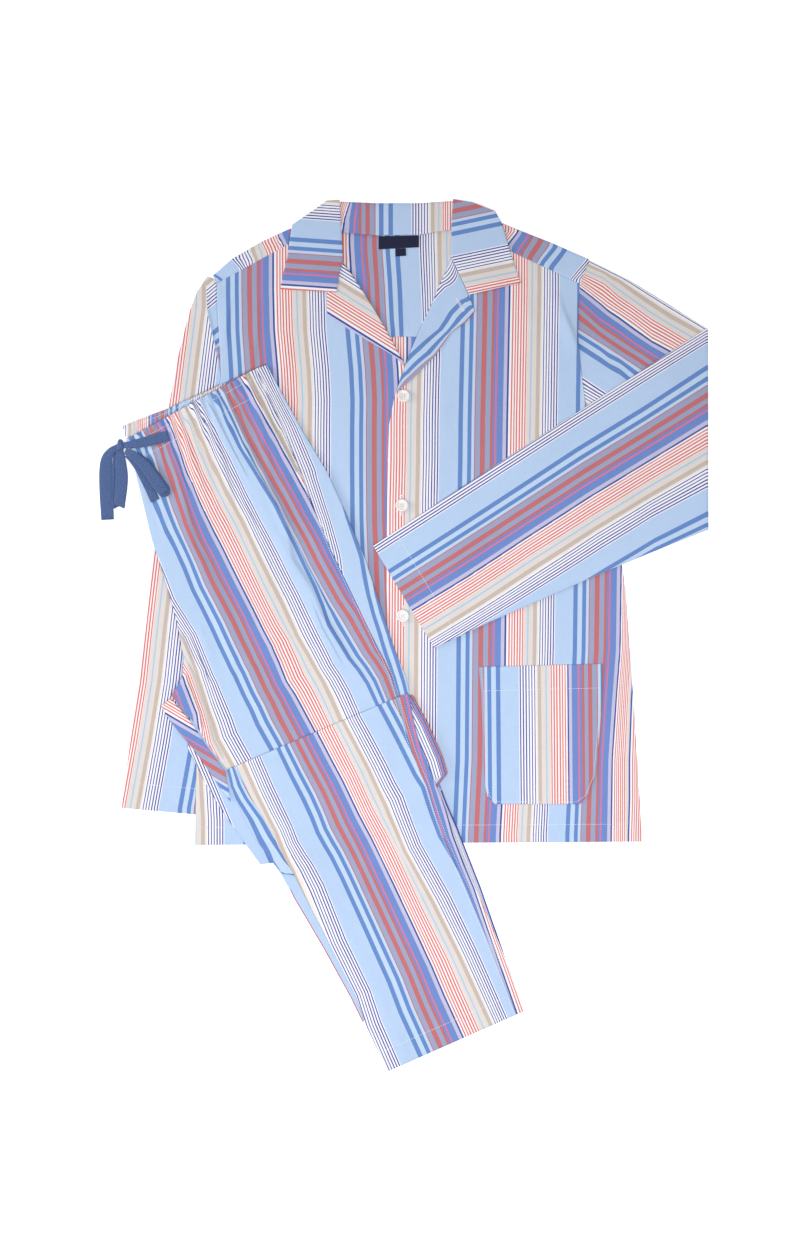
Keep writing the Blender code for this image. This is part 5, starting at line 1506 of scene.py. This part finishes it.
def add_left_sleeve():
    """From the armhole out to the elbow, round the fold, and back over the front. Rows run along
    the sleeve and columns down its width."""
    shares = fine_shares(LEFT_SLEEVE_WIDTH, 3.0)
    armhole = along(np.array(ARMHOLE_LEFT, float), shares * (len(ARMHOLE_LEFT) - 1))
    armhole += (SEAM_GAP / 3, 0)
    stack = np.concatenate([armhole[None], between(*edges(SLEEVE_LEFT_OUT), shares)])
    out_rows = np.concatenate([[0, 0.012], np.linspace(0.07, 3, 46)])
    out = along_columns(stack, out_rows)
    left, right = edges(SLEEVE_LEFT_BACK)
    back_rows = np.append(row_places(left, right, 4)[:-1], [4.993, 5.0])
    back = between(along(left, back_rows), along(right, back_rows), shares)
    out_x, out_y, back_x, back_y = out[..., 0], out[..., 1], back[..., 0], back[..., 1]
    low = FLAT_SLEEVE / 2
    calm = ease((LEFT_SLEEVE_ELBOW - back_x) / 40)
    back_z = (FOREARM_LEVEL + low + OVERLAP_LIFT * over_placket(back_x, back_y, 40, 95)
              + (on_body(back_x, back_y) + sleeve_relief(back_x, back_y)) * calm)
    bare = 1 - cover(out_x, out_y, outline(SLEEVE_LEFT_BACK), 2, 16)
    out_z = low + sleeve_relief(out_x, out_y) * bare * ease((out_x - LEFT_SLEEVE_CAP) / 30)
    fold = half_turn(back_x[0], back_y[0], low, back_z[0, 0], 1, 0)
    x, y, z = (np.concatenate(parts) for parts in zip(
        (out_x, out_y, out_z), fold, (back_x, back_y, back_z)))
    turned = len(out)
    turned_rows = np.concatenate([np.zeros(len(fold[0])), back_rows])
    length, share = widths(x, y), np.broadcast_to(shares, x.shape)
    chart_out = stripes_by_shares(out_rows[:, None], share[:turned], length[:turned],
                                  UPPER_SLEEVE_NUMBERS, UPPER_SLEEVE_LINES)
    chart_back = stripes_by_shares(turned_rows[:, None], share[turned:], length[turned:],
                                   FOREARM_NUMBERS, FOREARM_LINES)
    over = np.concatenate([chart_out, np.broadcast_to(chart_out[-1:], chart_back.shape)])
    below = np.concatenate([np.broadcast_to(chart_back[:1], chart_out.shape), chart_back])
    points = to_metres(x, y, z)
    piece = tube("left_sleeve", points, over, below, run_along(x, y))
    declare(piece, points, "sleeve_left", turns=2)
    PANELS[piece.name] = to_metres(back_x, back_y, back_z + low)  # for the stitches on its hem


def add_buttons():
    """Four-hole buttons. The top is a height over a round grid: flat at the middle, dished round
    the holes, rising to a turned rim and rounding off at the edge, with four deep round pits."""
    radius, height = BUTTON_WIDTH / 2, BUTTON_HEIGHT
    u, v = np.meshgrid(np.linspace(-1, 1, 65), np.linspace(-1, 1, 65), indexing="ij")
    disc_x = u * np.sqrt(1 - v**2 / 2) * radius
    disc_y = v * np.sqrt(1 - u**2 / 2) * radius
    reach = np.hypot(disc_x, disc_y) / radius
    top = np.interp(reach, (0, 0.5, 0.6, 0.7, 0.78, 0.88, 0.95, 1.0),
                    (0.76, 0.77, 0.82, 0.96, 1.0, 0.97, 0.84, 0.6)) * height
    for corner in range(4):
        angle = math.pi / 4 + corner * math.pi / 2
        gap = np.hypot(disc_x - HOLE_REACH * math.cos(angle),
                       disc_y - HOLE_REACH * math.sin(angle))
        top -= (top - HOLE_FLOOR) * (1 - ease((gap - HOLE_RADIUS) / HOLE_SLOPE))
    bottom = np.interp(reach, (0, 0.8, 0.95, 1.0), (0, 0, 0.2, 0.45)) * height
    for number, (x, y) in enumerate(BUTTON_PLACES, 1):
        spot = np.array([[x]], float), np.array([[y]], float)
        level = (left_front_level(*spot) + body_relief(*spot))[0, 0] + CLOTH + SEAM_GAP
        faces = [to_metres(disc_x + x, disc_y + y, side + level) for side in (top, bottom)]
        button = shell(f"front_button_{number}", *faces, disc_x, disc_y,
                       material_of("Button pearl"), "button", bulge=0.0001, soft=0.05)
        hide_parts(f"button_{number}")


# ------------------------------------------------------------------ trousers


def trouser_floor(x, y):
    return trouser_support(x, y) + on_body(x, y)


def leg_relief(x, y, creases):
    """What the leg rises and falls by, on top of its largest folds."""
    return creased(x, y, creases) + undulation(x, y, 0.6)


def casing(down):
    """Height of the drawstring's casing over the leg, from how far down the leg a point is."""
    return CASING_HEIGHT * ease((CASING_DEPTH - down) / 9)


def ridges_along(folds, rows, share):
    """The leg's largest folds: each is a bell across the leg whose place follows a curve through
    three shares of the width."""
    down = np.linspace(0, 1, rows)[:, None]
    height = np.zeros(share.shape)
    for fold in folds:
        ends = (1 - down) ** 2 * fold.waist + down**2 * fold.crossing
        place = ends + 2 * down * (1 - down) * (2 * fold.middle - (fold.waist + fold.crossing) / 2)
        height += fold.height * np.exp(-(((share - np.clip(place, 0, 1)) * 200 / fold.width) ** 2))
    return height


def add_hidden_layers():
    """The layers under the leg that shows, as one piece: each section is a closed ring, flat
    below, stepped at the sides like pressed edges, and rising on top to the cross fold."""
    left, right = edges(LEG_HIDDEN)
    places = row_places(left, right, 9)
    thick = np.full(len(LEG_HIDDEN), LEG_LAYERS)
    thick[PLEAT_ROWS] = PLEAT_LAYERS
    thick = np.interp(places, np.arange(len(thick)), thick)[:, None]
    left, right = along(left, places), along(right, places)
    length = np.linalg.norm(right - left, axis=1, keepdims=True)
    near = np.concatenate([[0, 0.6], np.arange(2, 26, 2.0)])
    far = np.concatenate([[0, 0.4], np.arange(0.8, 20, 0.6)])
    columns = np.concatenate([near / length, 0.5 + np.linspace(-0.5, 0.5, 26) * (1 - 60 / length),
                              1 - far[::-1] / length], axis=1)
    heights = np.array([0.12, 0.25, 0.4, 0.5, 0.62, 0.75, 0.88])
    steps = np.array([0.6, 0.9, 0.2, -0.5, 0.3, 0.9, 0.5])[:, None]
    outward = ((right - left) / length)[:, None]
    below = between(left, right, columns)
    ring = np.concatenate([below, right[:, None] + outward * steps, below[:, ::-1],
                           left[:, None] - outward * steps[::-1]], axis=1)
    rise = ease((columns[:, ::-1] * length - 8) / (PLEAT_INSET - 10))
    top = LEG_LAYERS + (thick - LEG_LAYERS) * rise
    height = np.concatenate([0 * top, top[:, :1] * heights, top, top[:, -1:] * heights[::-1]],
                            axis=1)
    x, y = ring[..., 0], ring[..., 1]
    points = to_metres(x, y, trouser_floor(x, y) + height)
    side = np.ones((len(ring), len(steps)))
    share = np.concatenate([columns, side, columns[:, ::-1], 0 * side], axis=1)
    inward = (1 - share) * length / UNIT
    flap, sliver = (np.interp(inward, *zip(*lines)) for lines in (FLAP_LINES, SLIVER_LINES))
    edge_y = y[:, columns.shape[1]][:, None]
    beside = np.where(edge_y > FLAP_TOP, WAIST_SIDE_NUMBER,
                      np.where(edge_y > FLAP_END, flap, sliver))
    chart = np.where(inward < 18, beside, stripes_by_heading(x, y, HIDDEN_LEFT_LAY))
    piece = ringed("folded_layers", points, stripe_map(chart, run_along(x, y)), cloth())
    declare(piece, points[:, :columns.shape[1]], "trousers_hidden_layers")


def add_upper_leg():
    """Waist to cross fold: the gathered and folded front panel, and the strip of the back panel
    beyond the outseam."""
    x, y, row, share = fine_grid(LEG_FRONT_UPPER, 2.0, 3.2,
                                 creases_between(UPPER_NUMBERS, UPPER_LINES))
    down, width = distance_down(x, y), widths(x, y)
    reach = 1 - 0.6 * ease(down / down[-1] * 3 - 2)
    height = gathers(down, share, GATHER_HEIGHT) + casing(down)
    height += ridges_along(UPPER_FOLDS, len(x), share) * ease(down / 60) * reach
    finished = ease((down[-1] - down) / 30)
    height += leg_relief(x, y, UPPER_LEG_CREASES) * finished * ease(down / 40)
    height += tucks(share, width, row, UPPER_NUMBERS, UPPER_LINES, 1.7) * ease(down[-1] - down)
    chart = stripes_by_shares(row, share, width, UPPER_NUMBERS, UPPER_LINES)
    chart += (1.1 * np.sin(2 * math.pi * (GATHER_COUNT * share + down / 85))
              + 0.8 * np.sin(down / 7 + 31 * share)) * np.exp(-down / 60)
    panel("upper_leg_front", "leg_front_upper", x, y, trouser_floor(x, y) + LEG_LEVEL + height,
          chart, ["folded_layers"], "gathered")
    x, y, _, share = fine_grid(LEG_BACK_UPPER, 2.2, 3.4)
    panel("upper_leg_back", "leg_back_upper", x, y,
          trouser_floor(x, y) + LEG_LEVEL + casing(distance_down(x, y)),
          stripes_by_height(y, share, BACK_UPPER_LINES), ["folded_layers"])


def lower_level(x, y):
    """Underside of the lower stretch, with its folded edge turned down at the start."""
    turned_down = FOLD_DROP * (1 - ease(distance_down(x, y) / 3.5))
    return trouser_floor(x, y) + LEG_LEVEL + pleat_lift(x, y) - turned_down


def add_lower_leg():
    """Cross fold to hem: the front panel, and along both its sides the strips of the back panel
    that are turned over on to it."""
    x, y, row, share = fine_grid(LEG_FRONT_LOWER, 2.2, 3.4,
                                 creases_between(LOWER_NUMBERS, LOWER_LINES))
    height = ridges_along(LOWER_FOLDS, len(x), share) + leg_relief(x, y, LOWER_LEG_CREASES)
    panel("lower_leg_front", "leg_front_lower", x, y,
          lower_level(x, y) + height * ease(distance_down(x, y) / 60),
          stripes_by_shares(row, share, widths(x, y), LOWER_NUMBERS, LOWER_LINES),
          ["folded_layers"], "folded")
    x, y, row, share = fine_grid(LEG_INSEAM_LOWER, 2.2, 3.4,
                                 lambda places, lengths: INSEAM_LINE / lengths[:, None])
    lined = (share < INSEAM_LINE / widths(x, y)[:, None]) & (row > 8.6)
    panel("lower_leg_inseam", "leg_inseam_lower", x, y, lower_level(x, y),
          np.where(lined, 85.7, stripes_by_height(y, share, INSEAM_LOWER_LINES)),
          ["folded_layers"], "folded")
    x, y, _, share = fine_grid(LEG_BACK_LOWER, 2.2, 3.4)
    panel("lower_leg_back", "leg_back_lower", x, y, lower_level(x, y),
          stripes_by_height(y[:, :1], share, BACK_LOWER_LINES), ["folded_layers"], "folded")


def add_waist_back():
    """The inside of the back waist, showing above the front's drawn edge."""
    x, y, row, _ = fine_grid(WAIST_BACK, 1.8, 2.0)
    wave = gathers(0 * x, row / (len(WAIST_BACK) - 1), 0.6)
    panel("waist_back_band", "waist_back", x, y, trouser_floor(x, y) + SEAM_GAP + wave,
          stripes_by_guides(x, y, WAIST_BACK_GUIDES, -1), ["jacket_right_front"], "gathered",
          run_across(x, y))


def add_crotch_point():
    """Lies on the layers below at the leg, and on the jacket beyond them."""
    x, y, *_ = fine_grid(CROTCH_POINT, 2.0, 2.6)
    layers = (LEG_LAYERS + LAY_GAP) * cover(x, y, outline(LEG_HIDDEN[7:12]), 4, 26)
    panel("crotch_extension", "crotch_point", x, y,
          trouser_floor(x, y) + SEAM_GAP + layers + pleat_lift(x, y),
          stripes_by_heading(x, y, CROTCH_LAY), ["folded_layers"])


# ------------------------------------------------------------------ sewing


WORKED_PITCH = 0.85  # from one dash of a worked buttonhole to the next, in mm
STITCH_LIFT = 0.00012  # metres from the cloth's top to the middle of the thread
STITCH_RINGS = np.array([[0, 0.2, 0.8, 1.0], [0.35, 1.0, 1.0, 0.35]])  # place, girth


def stitch_points(route, pitch, length):
    """Start and end of each stitch along a route: even steps of its length."""
    route = np.asarray(route, float)
    runs = np.append(0, np.cumsum(np.linalg.norm(np.diff(route, axis=0), axis=1)))
    starts = np.arange(0.5 * pitch, runs[-1] - length, pitch)
    read = lambda at: np.stack([np.interp(at, runs, axis) for axis in route.T], -1)
    return read(starts), read(starts + length)


def stitches(name, lines, dashes=()):
    """Short dashes of thread along routes on panels, and dashes of their own given by their
    panel with the start and end of each. Each is a slim spindle: rings that swell and close
    again along its length, sunk a little in the cloth."""
    pitch, length = sizes().stitch_pitch * 1000, sizes().stitch_length * 1000
    runs = [(panel_name, *stitch_points(route, pitch, length)) for panel_name, route in lines]
    starts, ends = [], []
    for panel_name, first, last in [*runs, *dashes]:
        for store, (x, y) in ((starts, first.T), (ends, last.T)):
            points = to_metres(x, y, 0 * x)
            points[:, 2] = surface_height(panel_name, x, y) + STITCH_LIFT
            store.append(points)
    starts, ends = np.concatenate(starts), np.concatenate(ends)
    heading = unit_of(ends - starts)
    side = unit_of(np.stack([-heading[:, 1], heading[:, 0], 0 * heading[:, 0]], -1))
    up = np.cross(heading, side)
    turn = np.linspace(0, 2 * math.pi, 6, endpoint=False)[:, None]
    shares, girth = STITCH_RINGS
    ring = ((side[:, None] * np.cos(turn) + 0.8 * up[:, None] * np.sin(turn))
            * sizes().stitch_width / 2)
    points = between(starts, ends, shares)[:, :, None] + ring[:, None] * girth[:, None, None]
    ringed(name, points, None, material_of("Sewing thread"))


def inset(table, side, distance):
    """A route inside a panel, at a distance from its left or right edge."""
    left, right = edges(table)
    inward = unit_of(right - left) * distance
    return left + inward if side == "left" else right - inward


def level_row(table, distance):
    """A route across a panel, at a distance in from its first row, or from its last row where
    the distance is below 0. It stops a little short of both edges."""
    here, other = (0, 1) if distance > 0 else (-1, -2)
    start, end = (side[here] + unit_of(side[other] - side[here]) * abs(distance)
                  for side in edges(table))
    return np.array([start + (end - start) * 0.01, start + (end - start) * 0.99])


def buttonhole(panel_name, x, y, length, heading):
    """A worked buttonhole: dashes side by side across both lips, and along the slit's ends."""
    turn = math.radians(heading)
    run = np.array([math.cos(turn), math.sin(turn)])
    side = np.array([-run[1], run[0]])
    places = np.linspace(-length / 2, length / 2, int(length / WORKED_PITCH))[:, None] * run
    places += (x, y)
    lips = [(places + side * near, places + side * far)
            for near, far in ((0.25, 1.7), (-0.25, -1.7))]
    ends = [(places[[end]] - side * 1.6 + run * shift, places[[end]] + side * 1.6 + run * shift)
            for end in (0, -1) for shift in (0, 0.5 if end else -0.5)]
    return [(panel_name, first, last) for first, last in lips + ends]


def add_stitching():
    holes = [hole for x, y in BUTTON_PLACES[1:]
             for hole in buttonhole("jacket_left_front", x, y, 24, 90)]
    holes += buttonhole("lapel_left", 72.5, 672.5, 17, -60)
    side, other = inset(POCKET, "left", 2.6), inset(POCKET, "right", 2.6)
    stitches("jacket_stitching", (
        ("jacket_left_front", level_row(FRONT_LEFT, -22)),
        ("jacket_right_front", level_row(FRONT_RIGHT, -22)),
        ("chest_pocket", np.concatenate([side[:5], [(120, 51.8), (218, 51.8)], other[:5][::-1]])),
        ("chest_pocket", level_row(POCKET, 30)),
        ("right_sleeve", level_row(SLEEVE_RIGHT, -32)),
        ("left_sleeve", level_row(SLEEVE_LEFT_BACK, -33)),
    ), holes)
    stitches("trouser_stitching", (
        ("upper_leg_front", level_row(LEG_FRONT_UPPER, 9)),
        ("upper_leg_front", level_row(LEG_FRONT_UPPER, 30)),
        ("upper_leg_front", inset(LEG_FRONT_UPPER, "right", 1.6)),
        ("upper_leg_back", inset(LEG_BACK_UPPER, "left", 1.6)),
        ("lower_leg_front", inset(LEG_FRONT_LOWER, "right", 1.6)),
        ("lower_leg_back", inset(LEG_BACK_LOWER, "left", 4.0)),
        ("lower_leg_front", level_row(LEG_FRONT_LOWER, -25)),
        ("waist_back_band", inset(WAIST_BACK, "left", 6)),
    ))


# ------------------------------------------------------------------ operators and panel


class PYJAMA_OT_stage(bpy.types.Operator):
    """Camera, pale floor and soft studio light"""
    bl_idname = "pyjama.stage"
    bl_label = "Stage"

    def execute(self, context):
        add_camera()
        add_stage()
        return {"FINISHED"}


class PYJAMA_OT_drawstring(bpy.types.Operator):
    """Woven tape from the waist casing, tied in a bow with two free ends"""
    bl_idname = "pyjama.drawstring"
    bl_label = "Drawstring"

    def execute(self, context):
        add_drawstring()
        return {"FINISHED"}


class PYJAMA_OT_back(bpy.types.Operator):
    """Jacket back, and the yoke that folds over the shoulders"""
    bl_idname = "pyjama.back_and_yoke"
    bl_label = "Back and yoke"

    def execute(self, context):
        add_back()
        add_yoke()
        return {"FINISHED"}


class PYJAMA_OT_fronts(bpy.types.Operator):
    """The two jacket fronts with their turned-back facings"""
    bl_idname = "pyjama.fronts"
    bl_label = "Fronts and lapels"

    def execute(self, context):
        add_fronts()
        add_facings()
        return {"FINISHED"}


class PYJAMA_OT_collar(bpy.types.Operator):
    """Collar roll with its two points, neck label and size tab"""
    bl_idname = "pyjama.collar"
    bl_label = "Collar and labels"

    def execute(self, context):
        add_collar()
        add_labels()
        return {"FINISHED"}


class PYJAMA_OT_pocket(bpy.types.Operator):
    """Patch pocket on the left front"""
    bl_idname = "pyjama.pocket"
    bl_label = "Pocket"

    def execute(self, context):
        add_pocket()
        return {"FINISHED"}


class PYJAMA_OT_sleeves(bpy.types.Operator):
    """Right sleeve laid straight, left sleeve folded across the front"""
    bl_idname = "pyjama.sleeves"
    bl_label = "Sleeves"

    def execute(self, context):
        add_right_sleeve()
        add_left_sleeve()
        return {"FINISHED"}


class PYJAMA_OT_buttons(bpy.types.Operator):
    """Three pearly four-hole buttons"""
    bl_idname = "pyjama.buttons"
    bl_label = "Buttons"

    def execute(self, context):
        add_buttons()
        return {"FINISHED"}


class PYJAMA_OT_trousers(bpy.types.Operator):
    """Trousers folded once across the leg, over their hidden layers"""
    bl_idname = "pyjama.trousers"
    bl_label = "Trousers"

    def execute(self, context):
        add_hidden_layers()
        add_upper_leg()
        add_lower_leg()
        add_waist_back()
        add_crotch_point()
        return {"FINISHED"}


class PYJAMA_OT_stitching(bpy.types.Operator):
    """Rows of topstitching on hems, pocket and seams"""
    bl_idname = "pyjama.stitching"
    bl_label = "Stitching"

    def execute(self, context):
        add_stitching()
        return {"FINISHED"}


STEPS = ("stage", "drawstring", "back_and_yoke", "fronts", "collar", "pocket", "sleeves", "buttons",
         "trousers", "stitching")


class PYJAMA_PT_panel(bpy.types.Panel):
    """Sidebar list of the colours, sizes and making steps"""
    bl_idname = "PYJAMA_PT_panel"
    bl_label = "Striped pyjama set"
    bl_space_type = "VIEW_3D"
    bl_region_type = "UI"
    bl_category = "Pyjamas"

    def draw(self, context):
        for group in (context.scene.pyjama_colours, context.scene.pyjama_sizes):
            column = self.layout.column(align=True)
            for name in group.__annotations__:
                column.prop(group, name)
        column = self.layout.column(align=True)
        for step in STEPS:
            column.operator(f"pyjama.{step}")


CLASSES = (PyjamaColours, PyjamaSizes, PYJAMA_OT_stage, PYJAMA_OT_drawstring, PYJAMA_OT_back,
           PYJAMA_OT_fronts, PYJAMA_OT_collar, PYJAMA_OT_pocket, PYJAMA_OT_sleeves,
           PYJAMA_OT_buttons, PYJAMA_OT_trousers, PYJAMA_OT_stitching, PYJAMA_PT_panel)


def register():
    for item in CLASSES:
        bpy.utils.register_class(item)
    bpy.types.Scene.pyjama_colours = PointerProperty(type=PyjamaColours)
    bpy.types.Scene.pyjama_sizes = PointerProperty(type=PyjamaSizes)


def unregister():
    del bpy.types.Scene.pyjama_sizes
    del bpy.types.Scene.pyjama_colours
    for item in reversed(CLASSES):
        bpy.utils.unregister_class(item)


def main():
    register()
    for step in STEPS:
        getattr(bpy.ops.pyjama, step)()


if __name__ == "__main__":
    main()
